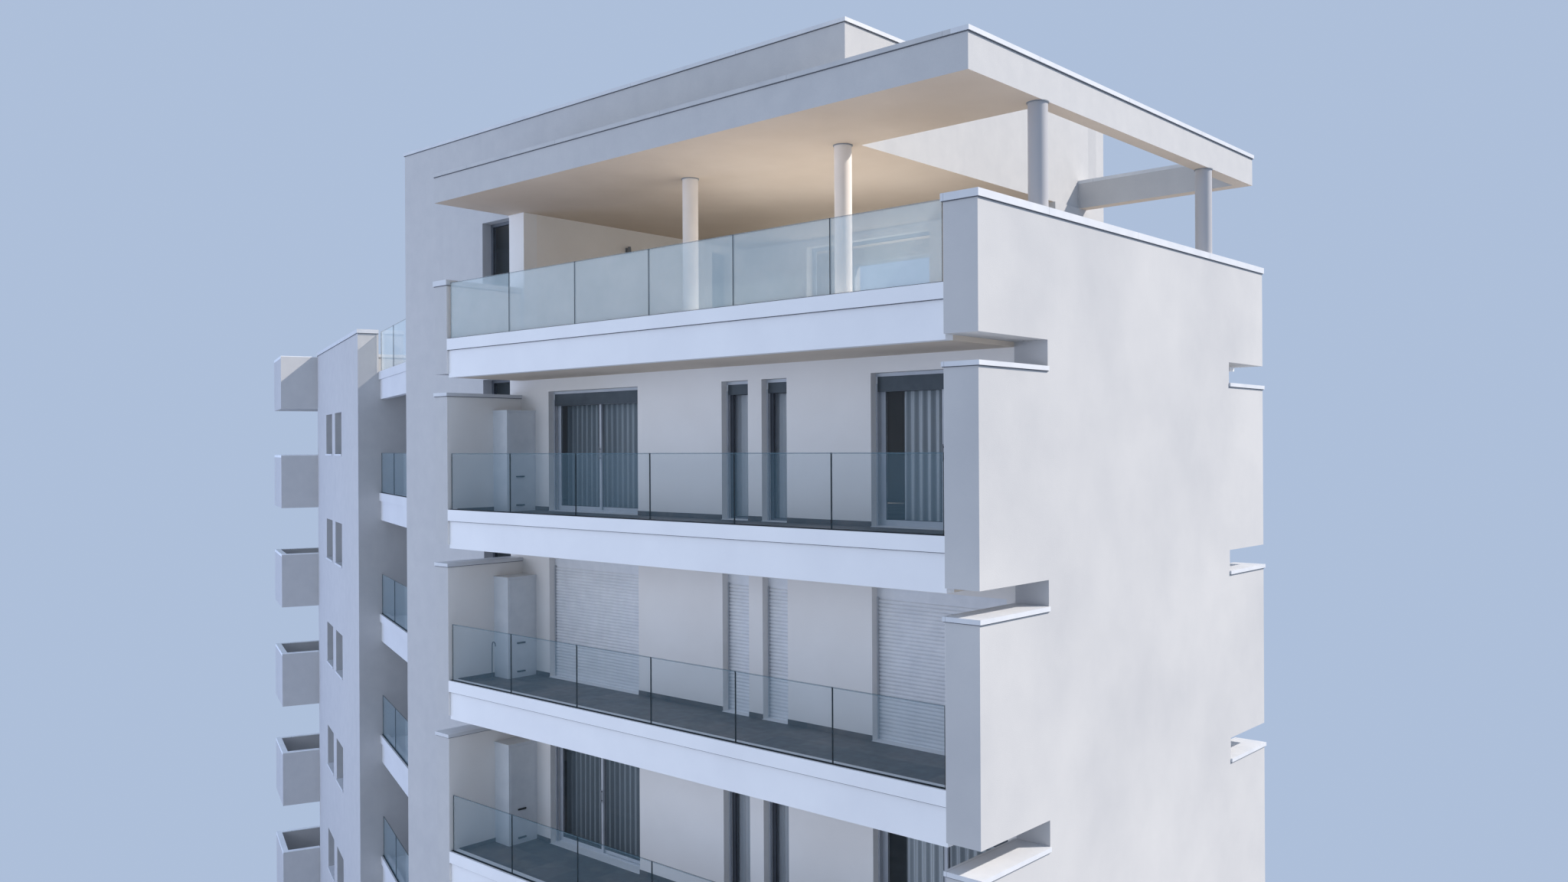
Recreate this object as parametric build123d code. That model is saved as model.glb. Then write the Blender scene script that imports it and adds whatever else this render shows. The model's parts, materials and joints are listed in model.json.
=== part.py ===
from build123d import *
import math
import os

os.makedirs("parts", exist_ok=True)

# Apartment block in white render: a main block with balconies along its front,
# a blind gable on the right, a penthouse under a flat roof with a large opening,
# and a lower wing that turns back on the left.
# Origin at ground level under the middle of the main block.
# X runs along the front to the gable, Y from the front to the rear, Z up.

# Levels
storey = 3050.0
storeys = 7
ground_floor_rise = 150.0
floor_slab = 300.0
penthouse_soffit = 2550.0
roof_slab_height = 460.0
upper_wall_top = 4280.0
roof_deck_drop = 600.0
roof_deck_thickness = 200.0
parapet_height = 1040.0

# Main block plan
block_length = 15200.0
block_depth = 9450.0
wall = 300.0
gable_thickness = 490.0
gable_rear_inset = 600.0
balcony_depth = 1600.0
rear_balcony_depth = 1450.0
rear_balcony_length = 2760.0

# Fins and the gaps between them
fin_thickness = 380.0
fin_setback = 3670.0
fin_gap_top = 545.0
fin_gap = 335.0

# Balcony edge
beam_depth = 200.0
beam_rise = 80.0
beam_drop = 610.0
beam_band = 200.0
beam_band_projection = 40.0
balcony_slab = 250.0
soffit_board = 80.0
paving_thickness = 20.0

# Glass rails
rail_height = 1005.0
rail_glass = 17.5
rail_setback = 50.0
rail_gap = 12.0
rail_end_gap = 50.0
rail_panels = 6
rear_rail_panels = 2
rail_seat = 80.0
rail_groove = 40.0

# Copings
coping_thickness = 60.0
parapet_coping_thickness = 95.0
coping_overhang = 25.0

# Roof slab over the penthouse terrace
roof_gable_setback = 120.0
roof_rear_setback = 700.0
roof_beam_gable = 240.0
roof_beam_rear = 250.0
roof_front_depth = 1970.0
opening_length = 2920.0
column_diameter = 260.0
column_front_inset = 1800.0
column_rear_inset = 7000.0
column_spacing = 3250.0

# Penthouse walls
penthouse_depth = 6000.0
terrace_wall_setback = 100.0
penthouse_view_start = 1820.0
penthouse_view_length = 3200.0
penthouse_view_head = 2390.0
penthouse_door_length = 570.0
penthouse_door_end = 470.0
penthouse_door_head = 2390.0

# Openings in the front wall: the near ones from the gable inwards, the far ones from the left fin
door_head = 2210.0
door_near_start = 620.0
door_near_width = 2220.0
slit_near_start = 4450.0
slit_near_width = 520.0
slit_far_start = 5260.0
slit_far_width = 580.0
door_far_start = 830.0
door_far_width = 2470.0
strip_window_lap = 20.0
strip_window_width = 880.0
strip_window_head = 2510.0

# Windows, doors and shutters
reveal = 200.0
frame_depth = 70.0
frame_face = 60.0
leaf_depth = 30.0
leaf_face = 55.0
pane = 24.0
shutter_box_height = 150.0
shutter_setback = 130.0
shutter_thickness = 14.0
slat_pitch = 55.0
slat_groove = 8.0
slat_groove_depth = 4.0
bottom_bar_height = 50.0
bottom_bar_thickness = 20.0
lowered_levels = [5]
curtain_levels = [4, 6]
curtain_thickness = 80.0
curtain_clearance = 0.3
curtain_inset = 120.0
curtain_lap = 60.0

# Balcony fittings
cabinet_width = 430.0
cabinet_depth = 630.0
cabinet_height = 1850.0
handle_length = 170.0
handle_face = 25.0
handle_reach = 35.0
handle_low = 100.0
handle_high = 620.0
handle_inset = 190.0

# Wing
wing_turn = 20.6
wing_front_inset = 1940.0
wing_loggia_length = 5390.0
wing_loggia_depth = 1500.0
wing_step = 500.0
wing_wall_length = 8360.0
wing_box_length = 2300.0
wing_box_depth = 3060.0
wing_box_projection = 1060.0
wing_box_wall = 150.0
wing_box_rise = 1000.0
wing_window_width = 1320.0
wing_window_gap = 620.0
wing_window_sill = 1030.0
wing_window_height = 1170.0
wing_window_start = 3030.0
wing_rail_panels = 3
rear_window_width = 1320.0
rear_window_inset = 2400.0
rear_window_spacing = 2800.0
rear_window_count = 3
rear_door_inset = 400.0
loggia_door_inset = 600.0

# Derived places
gable_x = block_length / 2
left_x = -block_length / 2
gable_inner_x = gable_x - gable_thickness
front_y = -block_depth / 2
rear_y = block_depth / 2
wall_y = front_y + balcony_depth
wall_inner_y = wall_y + wall
gable_rear_y = rear_y - gable_rear_inset
bay_y = gable_rear_y - rear_balcony_depth
tower_x = gable_inner_x - rear_balcony_length
fin_x = left_x + fin_setback
fin_inner_x = fin_x + fin_thickness
penthouse_z = storeys * storey
soffit_z = penthouse_z + penthouse_soffit
roof_z = soffit_z + roof_slab_height
upper_z = penthouse_z + upper_wall_top
terrace_x = fin_inner_x + terrace_wall_setback
terrace_y = wall_y + penthouse_depth
parapet_z = penthouse_z + parapet_height
view_x = terrace_x + penthouse_view_start
view_end = view_x + penthouse_view_length
view_top = penthouse_z + penthouse_view_head
side_door_y = terrace_y - penthouse_door_end


def block(x0, x1, y0, y1, z0, z1):
    # A box between two opposite corners
    centre = Pos((x0 + x1) / 2, (y0 + y1) / 2, (z0 + z1) / 2)
    return centre * Box(x1 - x0, y1 - y0, z1 - z0)


def floor_level(level):
    # Height of the structural floor, raised a little at the ground
    return ground_floor_rise if level == 0 else level * storey


def save(name, solids):
    # One file for each sub-part, with all its solids
    pieces = []
    for shape in solids:
        pieces.extend(shape.solids())
    export_step(Compound(children=pieces), "parts/" + name + ".step")


wing_x = left_x
wing_y = front_y + wing_front_inset
wing_place = Location((wing_x, wing_y, 0), (0, 0, 180.0 - wing_turn))
wing_end = wing_loggia_length + wing_wall_length
wing_depth = (rear_y - wing_y) * math.cos(math.radians(wing_turn))
wing_reach = block_depth
main_side = block(left_x, left_x + 3 * wing_reach, -3 * wing_reach, 3 * wing_reach, -storey, upper_z + storey)


def wing_block(s0, s1, out0, out1, z0, z1):
    # A box in the wing's own directions: along the wing, out to its front, and up
    return wing_place * block(s0, s1, out0, out1, z0, z1)


def trimmed(shape):
    # What reaches the main block ends on its left wall
    return shape - main_side


def along_front(start, width):
    # Left and right edges of an opening measured from the gable's outer face
    return gable_x - start - width, gable_x - start


# Openings of one storey, as left edge, right edge, sill and head above the floor
front_doors = [
    along_front(door_near_start, door_near_width),
    (fin_inner_x + door_far_start, fin_inner_x + door_far_start + door_far_width),
]
front_slits = [
    along_front(slit_near_start, slit_near_width),
    along_front(slit_far_start, slit_far_width),
]
strip_window = (fin_x + strip_window_lap - strip_window_width, fin_x + strip_window_lap)


def cut_front(solid, level):
    # Doors and windows of one storey through the front wall
    z = floor_level(level)
    for x0, x1 in front_doors + front_slits:
        solid -= block(x0, x1, wall_y - wall, wall_y + 2 * wall, z, level * storey + door_head)
    x0, x1 = strip_window
    return solid - block(x0, x1, wall_y - wall, wall_y + 2 * wall, z, level * storey + strip_window_head)


def make_front_wall():
    body = block(left_x, gable_inner_x, wall_y, wall_inner_y, 0, penthouse_z)
    body += block(left_x, fin_x, wall_y, wall_inner_y, penthouse_z, upper_z)
    body += block(fin_x, terrace_x, wall_y, wall_inner_y, penthouse_z, soffit_z)
    for level in range(storeys):
        body = cut_front(body, level)
    x0, x1 = strip_window
    window_z = penthouse_z + strip_window_head
    return body - block(x0, x1, wall_y - wall, wall_y + 2 * wall, penthouse_z, window_z)


def make_gable_wall():
    # Each floor line has a gap through the front and rear ends of the wall
    body = block(gable_inner_x, gable_x, front_y, gable_rear_y, 0, parapet_z)
    for level in range(1, storeys + 1):
        top = level * storey - fin_gap_top
        low = top - fin_gap - coping_thickness
        body -= block(gable_inner_x - wall, gable_x + wall, front_y - wall, wall_y, low, top)
        body -= block(gable_inner_x - wall, gable_x + wall, bay_y, gable_rear_y + wall, low, top)
    return body


def make_left_fins():
    fins = []
    for level in range(storeys + 1):
        low = 0 if level == 0 else level * storey - fin_gap_top
        top = (level + 1) * storey - fin_gap_top - fin_gap - coping_thickness
        if level == storeys:
            top = parapet_z
        fins.append(block(fin_x, fin_inner_x, front_y, wall_y, low, top))
    return fins


def make_fin_copings():
    copings = []
    over = coping_overhang
    for level in range(1, storeys + 1):
        z1 = level * storey - fin_gap_top - fin_gap
        z0 = z1 - coping_thickness
        copings.append(block(fin_x - over, fin_inner_x + over, front_y - over, wall_y, z0, z1))
        copings.append(block(gable_inner_x - over, gable_x + over, front_y - over, wall_y, z0, z1))
        copings.append(block(gable_inner_x - over, gable_x + over, bay_y, gable_rear_y + over, z0, z1))
    return copings


def make_parapet_copings():
    over = coping_overhang
    z1 = parapet_z + parapet_coping_thickness
    gable = block(gable_inner_x - over, gable_x + over, front_y - over, gable_rear_y + over, parapet_z, z1)
    fin = block(fin_x - over, fin_inner_x + over, front_y - over, wall_y, parapet_z, z1)
    return [gable, fin]


def glass_groove(x0, x1, y, level):
    # Slot in the top of an edge beam, centred on the glass whose outer face is at y
    z = level * storey + beam_rise
    side = (rail_groove - rail_glass) / 2
    return block(x0, x1, y - side, y + rail_glass + side, z - rail_seat, z + storey)


def glass_panel(x0, x1, y, level):
    # Stands on the bottom of its groove
    z = level * storey + beam_rise
    return block(x0, x1, y, y + rail_glass, z - rail_seat, z + rail_height)


def beam_profile(x0, x1, level):
    # Edge beam with a band standing proud along its top
    z = level * storey
    lower = block(x0, x1, front_y + beam_band_projection, front_y + beam_depth, z - beam_drop, z + beam_rise)
    band = block(x0, x1, front_y, front_y + beam_depth, z + beam_rise - beam_band, z + beam_rise)
    return lower + band - glass_groove(x0, x1, front_y + rail_setback, level)


def rail_row(x0, x1, count):
    # Left and right edges of equal glass panels with open joints, clear of the copings at the ends
    start = x0 + rail_end_gap
    pitch = (x1 - x0 - 2 * rail_end_gap + rail_gap) / count
    return [(start + i * pitch, start + (i + 1) * pitch - rail_gap) for i in range(count)]


def make_front_balconies():
    beams, slabs, soffits, paving, glass = [], [], [], [], []
    y0 = front_y + beam_depth
    for level in range(1, storeys + 1):
        z = level * storey
        beams.append(beam_profile(fin_inner_x, gable_inner_x, level))
        slabs.append(block(fin_inner_x, gable_inner_x, y0, wall_y, z - balcony_slab, z))
        low = z - beam_drop
        soffits.append(block(fin_inner_x, gable_inner_x, y0, wall_y, low, low + soffit_board))
        paving.append(block(fin_inner_x, gable_inner_x, y0, wall_y, z, z + paving_thickness))
        for x0, x1 in rail_row(fin_inner_x, gable_inner_x, rail_panels):
            glass.append(glass_panel(x0, x1, front_y + rail_setback, level))
    return beams, slabs, soffits, paving, glass


def make_rear_balconies():
    edges, glass = [], []
    x0, x1 = tower_x, gable_inner_x
    for level in range(1, storeys + 1):
        z = level * storey
        y = gable_rear_y - rail_setback - rail_glass
        edge = block(x0, x1, gable_rear_y - beam_depth, gable_rear_y, z - beam_drop, z + beam_rise)
        edge -= glass_groove(x0, x1, y, level)
        edges.append(edge + block(x0, x1, bay_y, gable_rear_y - beam_depth, z - balcony_slab, z))
        for p0, p1 in rail_row(x0, x1, rear_rail_panels):
            glass.append(glass_panel(p0, p1, y, level))
    return edges, glass


bay_door = (gable_inner_x - rear_door_inset - door_near_width, gable_inner_x - rear_door_inset)


def make_bay_walls():
    # Wall behind the rear balconies, and the tower's side wall
    bay = block(tower_x, gable_inner_x, bay_y - wall, bay_y, 0, penthouse_z)
    for level in range(storeys):
        z = floor_level(level)
        bay -= block(bay_door[0], bay_door[1], bay_y - 2 * wall, bay_y + wall, z, level * storey + door_head)
    side = block(tower_x - wall, tower_x, bay_y - wall, rear_y - wall, 0, penthouse_z)
    side += block(tower_x - wall, tower_x, terrace_y, rear_y - wall, penthouse_z, soffit_z)
    side += block(tower_x - wall, tower_x, rear_y - roof_rear_setback, rear_y - wall, soffit_z, roof_z)
    return bay + side


rear_windows = [left_x + rear_window_inset + n * rear_window_spacing for n in range(rear_window_count)]


def make_rear_wall():
    body = block(left_x, tower_x, rear_y - wall, rear_y, 0, upper_z)
    for level in range(storeys):
        z = level * storey + wing_window_sill
        for x0 in rear_windows:
            x1 = x0 + rear_window_width
            body -= block(x0, x1, rear_y - 2 * wall, rear_y + wall, z, z + wing_window_height)
    z1 = penthouse_z + door_head
    return body - block(view_x, view_end, rear_y - 2 * wall, rear_y + wall, penthouse_z, z1)


def make_floor_slabs():
    # Floors between the walls; the tower's part reaches further back than the bay
    slabs = []
    x0 = left_x + wall
    for level in range(1, storeys + 1):
        z = level * storey
        slab = block(x0, tower_x - wall, wall_inner_y, rear_y - wall, z - floor_slab, z)
        slab += block(tower_x - wall, gable_inner_x, wall_inner_y, bay_y - wall, z - floor_slab, z)
        slabs.append(slab)
    return slabs


def make_ground_slab():
    x0 = left_x + wall
    slab = block(x0, tower_x - wall, wall_inner_y, rear_y - wall, 0, ground_floor_rise)
    slab += block(tower_x - wall, gable_inner_x, wall_inner_y, bay_y - wall, 0, ground_floor_rise)
    return slab


def make_roof_slab():
    # Flat roof carried past the terrace, with an opening beside the upper walls
    roof_rear = rear_y - roof_rear_setback
    body = block(fin_x, gable_x - roof_gable_setback, front_y, roof_rear, soffit_z, roof_z)
    x1 = gable_x - roof_gable_setback - roof_beam_gable
    x0 = x1 - opening_length
    body -= block(x0, x1, front_y + roof_front_depth, roof_rear - roof_beam_rear, 0, roof_z + storey)
    body += block(left_x + wall, fin_x, wall_inner_y, rear_y - wall, soffit_z, roof_z)
    return body + block(fin_x, x0 - wall, roof_rear, rear_y - wall, soffit_z, roof_z)


upper_side_x = gable_x - roof_gable_setback - roof_beam_gable - opening_length


def make_upper_walls():
    # Upper walls stand on the roof slab, flush with the left strip and the opening
    front = block(fin_x, upper_side_x, wall_y, wall_inner_y, roof_z, upper_z)
    side = block(upper_side_x - wall, upper_side_x, wall_inner_y, rear_y - wall, roof_z, upper_z)
    return front + side


def make_roof_copings():
    # A ring on the upper walls and an edge strip on the roof slab
    over = coping_overhang
    z1 = upper_z + coping_thickness
    ring = block(left_x - over, upper_side_x + over, wall_y - over, rear_y + over, upper_z, z1)
    inner = wall + over
    x1 = upper_side_x - inner
    ring -= block(left_x + inner, x1, wall_y + inner, rear_y - inner, upper_z - wall, z1 + wall)
    x1 = gable_x - roof_gable_setback + over
    roof_rear = rear_y - roof_rear_setback
    z2 = roof_z + coping_thickness
    width = roof_beam_gable
    edge = block(fin_x, x1, front_y - over, front_y + width, roof_z, z2)
    edge += block(x1 - width - over, x1, front_y, roof_rear + over, roof_z, z2)
    edge += block(upper_side_x, x1, roof_rear - roof_beam_rear, roof_rear + over, roof_z, z2)
    return [ring, edge]


def make_columns():
    radius = column_diameter / 2
    gable_line = gable_x - roof_gable_setback - roof_beam_gable / 2
    stands = []
    for inset in (column_front_inset, column_rear_inset):
        stands.append((gable_line, front_y + inset, parapet_z + parapet_coping_thickness))
    for i in (1, 2):
        stands.append((gable_line - i * column_spacing, front_y + column_front_inset, penthouse_z))
    columns = []
    for x, y, z in stands:
        columns.append(Pos(x, y, (z + soffit_z) / 2) * Cylinder(radius, soffit_z - z))
    return columns


def make_penthouse_walls():
    side = block(terrace_x - wall, terrace_x, wall_inner_y, terrace_y, penthouse_z, soffit_z)
    y0 = side_door_y - penthouse_door_length
    z1 = penthouse_z + penthouse_door_head
    side -= block(terrace_x - 2 * wall, terrace_x + wall, y0, side_door_y, penthouse_z, z1)
    back = block(terrace_x - wall, tower_x - wall, terrace_y, terrace_y + wall, penthouse_z, soffit_z)
    back -= block(view_x, view_end, terrace_y - wall, terrace_y + 2 * wall, penthouse_z, view_top)
    return side + back


def ring(x0, x1, y0, y1, z0, z1, face):
    # A rectangular frame lying in a wall that faces front or rear
    hole = block(x0 + face, x1 - face, y0 - wall, y1 + wall, z0 + face, z1 - face)
    return block(x0, x1, y0, y1, z0, z1) - hole


def sliding_door(x0, x1, y, z0, z1):
    # Outer frame with two leaves that pass each other at the middle
    y1 = y + frame_depth
    frame = ring(x0, x1, y, y1, z0, z1, frame_face)
    middle = (x0 + x1) / 2
    low = z0 + frame_face
    high = z1 - frame_face
    half = leaf_face / 2
    front = ring(x0 + frame_face, middle + half, y, y + leaf_depth, low, high, leaf_face)
    back = ring(middle - half, x1 - frame_face, y1 - leaf_depth, y1, low, high, leaf_face)
    link = block(middle - half, middle + half, y, y1, low, high)
    panes = []
    inset = leaf_face
    for p0, p1, py in (
        (x0 + frame_face + inset, middle - half, y),
        (middle + half, x1 - frame_face - inset, y1 - leaf_depth),
    ):
        depth = py + (leaf_depth - pane) / 2
        panes.append(block(p0, p1, depth, depth + pane, low + inset, high - inset))
    return frame + front + back + link, panes


def casement(x0, x1, y, z0, z1):
    # One fixed or hinged sash in a narrow frame
    frame = ring(x0, x1, y, y + frame_depth, z0, z1, frame_face)
    face = frame_face
    depth = y + (frame_depth - pane) / 2
    return frame, block(x0 + face, x1 - face, depth, depth + pane, z0 + face, z1 - face)


def double_casement(x0, x1, y, z0, z1):
    # Two sashes side by side with a post between them
    frame = ring(x0, x1, y, y + frame_depth, z0, z1, frame_face)
    low = z0 + frame_face
    high = z1 - frame_face
    post0 = (x0 + x1 - frame_face) / 2
    post1 = post0 + frame_face
    depth = y + (frame_depth - pane) / 2
    panes = []
    for p0, p1 in ((x0 + frame_face, post0), (post1, x1 - frame_face)):
        panes.append(block(p0, p1, depth, depth + pane, low, high))
    return frame + block(post0, post1, y, y + frame_depth, low, high), panes


def slatted_curtain(x0, x1, y, z0, z1):
    # Lowered slats with a groove where each hooks into the next, on a thicker bottom bar
    low = z0 + bottom_bar_height
    count = int((z1 - low) / slat_pitch)
    back = y + shutter_thickness
    outline = [(back, low)]
    for n in range(count):
        z = low + n * slat_pitch
        outline.append((y, z))
        outline.append((y, z + slat_pitch - slat_groove))
        outline.append((y + slat_groove_depth, z + slat_pitch - slat_groove / 2))
    outline.extend([(y, low + count * slat_pitch), (y, z1), (back, z1)])
    section = Plane.YZ * make_face(Polyline(*outline, close=True))
    slats = Pos(x0, 0, 0) * extrude(section, x1 - x0)
    return slats + block(x0, x1, y, y + bottom_bar_thickness, z0, low)


def make_front_openings():
    doors, slits, glass, boxes, shutters, curtains = [], [], [], [], [], []
    y = wall_y + reveal
    for level in range(storeys):
        z0 = floor_level(level)
        head = level * storey + door_head
        z1 = head - shutter_box_height
        for x0, x1 in front_doors:
            frame, panes = sliding_door(x0, x1, y, z0, z1)
            doors.append(frame)
            glass.extend(panes)
        for x0, x1 in front_slits:
            frame, sheet = casement(x0, x1, y, z0, z1)
            slits.append(frame)
            glass.append(sheet)
        for x0, x1 in front_doors + front_slits:
            boxes.append(block(x0, x1, wall_y + shutter_setback, wall_inner_y, z1, head))
            if level in lowered_levels:
                shutters.append(slatted_curtain(x0, x1, wall_y + shutter_setback, z0, z1))
        x0, x1 = strip_window
        frame, sheet = casement(x0, x1, y, z0, level * storey + strip_window_head)
        slits.append(frame)
        glass.append(sheet)
        if level in curtain_levels:
            low = z0 + curtain_lap
            top = (level + 1) * storey - floor_slab - curtain_clearance
            for x0, x1 in front_doors:
                c0 = wall_inner_y + curtain_inset
                c1 = min(x1 + curtain_lap, gable_inner_x - curtain_lap)
                curtains.append(block(x0 - curtain_lap, c1, c0, c0 + curtain_thickness, low, top))
    x0, x1 = strip_window
    frame, sheet = casement(x0, x1, y, penthouse_z, penthouse_z + strip_window_head)
    slits.append(frame)
    glass.append(sheet)
    return doors, slits, glass, boxes, shutters, curtains


def make_rear_openings():
    doors, windows, glass = [], [], []
    for level in range(storeys):
        z0 = floor_level(level)
        y = bay_y - reveal - frame_depth
        frame, panes = double_casement(bay_door[0], bay_door[1], y, z0, level * storey + door_head)
        doors.append(frame)
        glass.extend(panes)
        for x0 in rear_windows:
            x1 = x0 + rear_window_width
            z = level * storey + wing_window_sill
            frame, sheet = casement(x0, x1, rear_y - reveal - frame_depth, z, z + wing_window_height)
            windows.append(frame)
            glass.append(sheet)
    return doors, windows, glass


def make_penthouse_openings():
    # The view through the penthouse has one wide pane at each end
    doors, glass = [], []
    frame, sheet = casement(view_x, view_end, terrace_y + reveal, penthouse_z, view_top)
    doors.append(frame)
    glass.append(sheet)
    y = rear_y - reveal - frame_depth
    frame, sheet = casement(view_x, view_end, y, penthouse_z, penthouse_z + door_head)
    doors.append(frame)
    glass.append(sheet)
    turned = Location((terrace_x, side_door_y, 0), (0, 0, 90))
    frame, sheet = casement(-penthouse_door_length, 0, reveal, penthouse_z, penthouse_z + penthouse_door_head)
    return doors, glass, [turned * frame], [turned * sheet]


def make_cabinets():
    cabinets, handles = [], []
    x1 = fin_inner_x + cabinet_width
    y0 = wall_y - cabinet_depth
    for level in range(1, storeys):
        z = level * storey + paving_thickness
        cabinets.append(block(fin_inner_x, x1, y0, wall_y, z, z + cabinet_height))
        for rise in (handle_low, handle_high):
            hz = z + rise
            hy = y0 + handle_inset
            handles.append(block(x1, x1 + handle_reach, hy, hy + handle_length, hz, hz + handle_face))
    return cabinets, handles


# The wing's walls, floors and balconies
wing_windows = [
    wing_loggia_length + wing_window_start,
    wing_loggia_length + wing_window_start + wing_window_width + wing_window_gap,
]
loggia_door_end = wing_loggia_length - loggia_door_inset
loggia_door = (loggia_door_end - door_near_width, loggia_door_end)


def make_wing_window_wall():
    # Stands forward of the loggias
    outer = wing_block(wing_loggia_length, wing_end, wing_step - wall, wing_step, 0, parapet_z)
    for level in range(storeys):
        z = level * storey + wing_window_sill
        for s0 in wing_windows:
            s1 = s0 + wing_window_width
            outer -= wing_block(s0, s1, wing_step - 2 * wall, wing_step + wall, z, z + wing_window_height)
    return outer


def make_wing_return_wall():
    # Closes the loggias' end, and stands up as a parapet over the step in the front
    s0 = wing_loggia_length
    low = wing_block(s0, s0 + wall, -wing_loggia_depth, wing_step - wall, 0, penthouse_z)
    return low + wing_block(s0, s0 + wall, 0, wing_step - wall, 0, parapet_z)


def make_wing_loggia_wall():
    # Wall behind the loggias, with a door in each storey
    s1 = wing_loggia_length + wall
    back = wing_block(-wing_reach, s1, -wing_loggia_depth - wall, -wing_loggia_depth, 0, penthouse_z)
    reach = wing_loggia_depth + 2 * wall
    d0, d1 = loggia_door
    for level in range(storeys):
        z = floor_level(level)
        back -= wing_block(d0, d1, -reach, wall - wing_loggia_depth, z, level * storey + door_head)
    return trimmed(back)


def make_wing_outer():
    # End wall and rear wall, both raised as parapets round the roof terrace
    end = wing_block(wing_end - wall, wing_end, -wing_depth, wing_step - wall, 0, parapet_z)
    rear = wing_block(-wing_reach, wing_end - wall, -wing_depth, wall - wing_depth, 0, parapet_z)
    for level in range(storeys):
        z = level * storey + wing_window_sill
        for s0 in wing_windows:
            s1 = s0 + wing_window_width
            rear -= wing_block(s0, s1, -wing_depth - wall, 2 * wall - wing_depth, z, z + wing_window_height)
    return trimmed(end + rear)


def wing_floor(z0, z1):
    # Floor between the wing's walls
    s1 = wing_end - wall
    inner = wing_block(wing_loggia_length + wall, s1, wall - wing_depth, wing_step - wall, z0, z1)
    inner += wing_block(-wing_reach, s1, wall - wing_depth, -wing_loggia_depth - wall, z0, z1)
    return trimmed(inner)


def make_wing_loggias():
    edges, glass = [], []
    for level in range(1, storeys + 1):
        z = level * storey
        s1 = wing_loggia_length
        low = wing_block(-wing_reach, s1, -beam_depth, -beam_band_projection, z - beam_drop, z + beam_rise)
        band = wing_block(-wing_reach, s1, -beam_depth, 0, z + beam_rise - beam_band, z + beam_rise)
        slab = wing_block(-wing_reach, s1, -wing_loggia_depth, -beam_depth, z - balcony_slab, z)
        y = -rail_setback - rail_glass
        groove = wing_place * glass_groove(-wing_reach, s1, y, level)
        edges.append(trimmed(low + band - groove + slab))
        start = rail_setback * math.tan(math.radians(wing_turn))
        for p0, p1 in rail_row(start, s1, wing_rail_panels):
            glass.append(wing_place * glass_panel(p0, p1, y, level))
    return edges, glass


def make_wing_boxes():
    # Open boxes hung on the wing's end, standing forward of its window wall
    boxes = []
    out1 = wing_step + wing_box_projection
    out0 = out1 - wing_box_depth
    t = wing_box_wall
    for level in range(1, storeys + 1):
        z = level * storey
        body = wing_block(wing_end, wing_end + wing_box_length, out0, out1, z - beam_drop, z + wing_box_rise)
        body -= wing_block(wing_end + t, wing_end + wing_box_length - t, out0 + t, out1 - t, z, z + storey)
        body -= wing_block(wing_end - t, wing_end + t, out0 + t, wing_step - t, z, z + storey)
        boxes.append(body)
    return boxes


def make_wing_copings():
    over = coping_overhang
    z1 = parapet_z + parapet_coping_thickness
    s0 = wing_loggia_length
    cap = wing_block(s0 - over, wing_end, wing_step - wall - over, wing_step + over, parapet_z, z1)
    cap += wing_block(s0 - over, s0 + wall + over, 0, wing_step, parapet_z, z1)
    cap += wing_block(wing_end - wall - over, wing_end, -wing_depth - over, wing_step, parapet_z, z1)
    cap += wing_block(-wing_reach, wing_end, -wing_depth - over, wall - wing_depth + over, parapet_z, z1)
    return trimmed(cap)


def make_wing_openings():
    doors, windows, glass = [], [], []
    for level in range(storeys):
        z = level * storey + wing_window_sill
        for s0 in wing_windows:
            for y in (wing_step - reveal - frame_depth, reveal - wing_depth):
                frame, sheet = casement(s0, s0 + wing_window_width, y, z, z + wing_window_height)
                windows.append(wing_place * frame)
                glass.append(wing_place * sheet)
        z0 = floor_level(level)
        y = -wing_loggia_depth - reveal - frame_depth
        frame, panes = double_casement(loggia_door[0], loggia_door[1], y, z0, level * storey + door_head)
        doors.append(wing_place * frame)
        glass.extend([wing_place * sheet for sheet in panes])
    return doors, windows, glass


beams, slabs, soffits, paving, rails = make_front_balconies()
rear_edges, rear_rails = make_rear_balconies()
doors, slits, glass, boxes, shutters, curtains = make_front_openings()
rear_doors, rear_casements, rear_glass = make_rear_openings()
top_doors, top_glass, side_door, side_glass = make_penthouse_openings()
wing_edges, wing_rails = make_wing_loggias()
wing_doors, wing_casements, wing_glass = make_wing_openings()
cabinets, handles = make_cabinets()
deck_z = upper_z - roof_deck_drop
deck_low = deck_z - roof_deck_thickness
deck = block(left_x + wall, upper_side_x - wall, wall_inner_y, rear_y - wall, deck_low, deck_z)

save("ground_slab", [make_ground_slab()])
save("floor_slabs", make_floor_slabs())
save("front_wall", [make_front_wall()])
save("gable_wall", [make_gable_wall()])
save("left_wall", [block(left_x, left_x + wall, wall_inner_y, rear_y - wall, 0, upper_z)])
save("rear_wall", [make_rear_wall()])
save("bay_walls", [make_bay_walls()])
save("left_fins", make_left_fins())
save("fin_copings", make_fin_copings())
save("parapet_copings", make_parapet_copings())
save("balcony_beams", beams)
save("balcony_slabs", slabs)
save("balcony_soffits", soffits)
save("balcony_paving", paving)
save("balcony_glass", rails)
save("rear_balconies", rear_edges)
save("rear_balcony_glass", rear_rails)
save("roof_slab", [make_roof_slab()])
save("roof_copings", make_roof_copings())
save("upper_walls", [make_upper_walls()])
save("roof_deck", [deck])
save("columns", make_columns())
save("penthouse_walls", [make_penthouse_walls()])
save("door_frames", doors + top_doors)
save("slit_window_frames", slits + side_door)
save("front_glass", glass + top_glass + side_glass)
save("shutter_boxes", boxes)
save("roller_shutters", shutters)
save("curtains", curtains)
save("cabinets", cabinets)
save("cabinet_handles", handles)
save("rear_frames", rear_doors + rear_casements)
save("rear_glass", rear_glass)
save("wing_window_wall", [make_wing_window_wall()])
save("wing_return_wall", [make_wing_return_wall()])
save("wing_loggia_wall", [make_wing_loggia_wall()])
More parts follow.
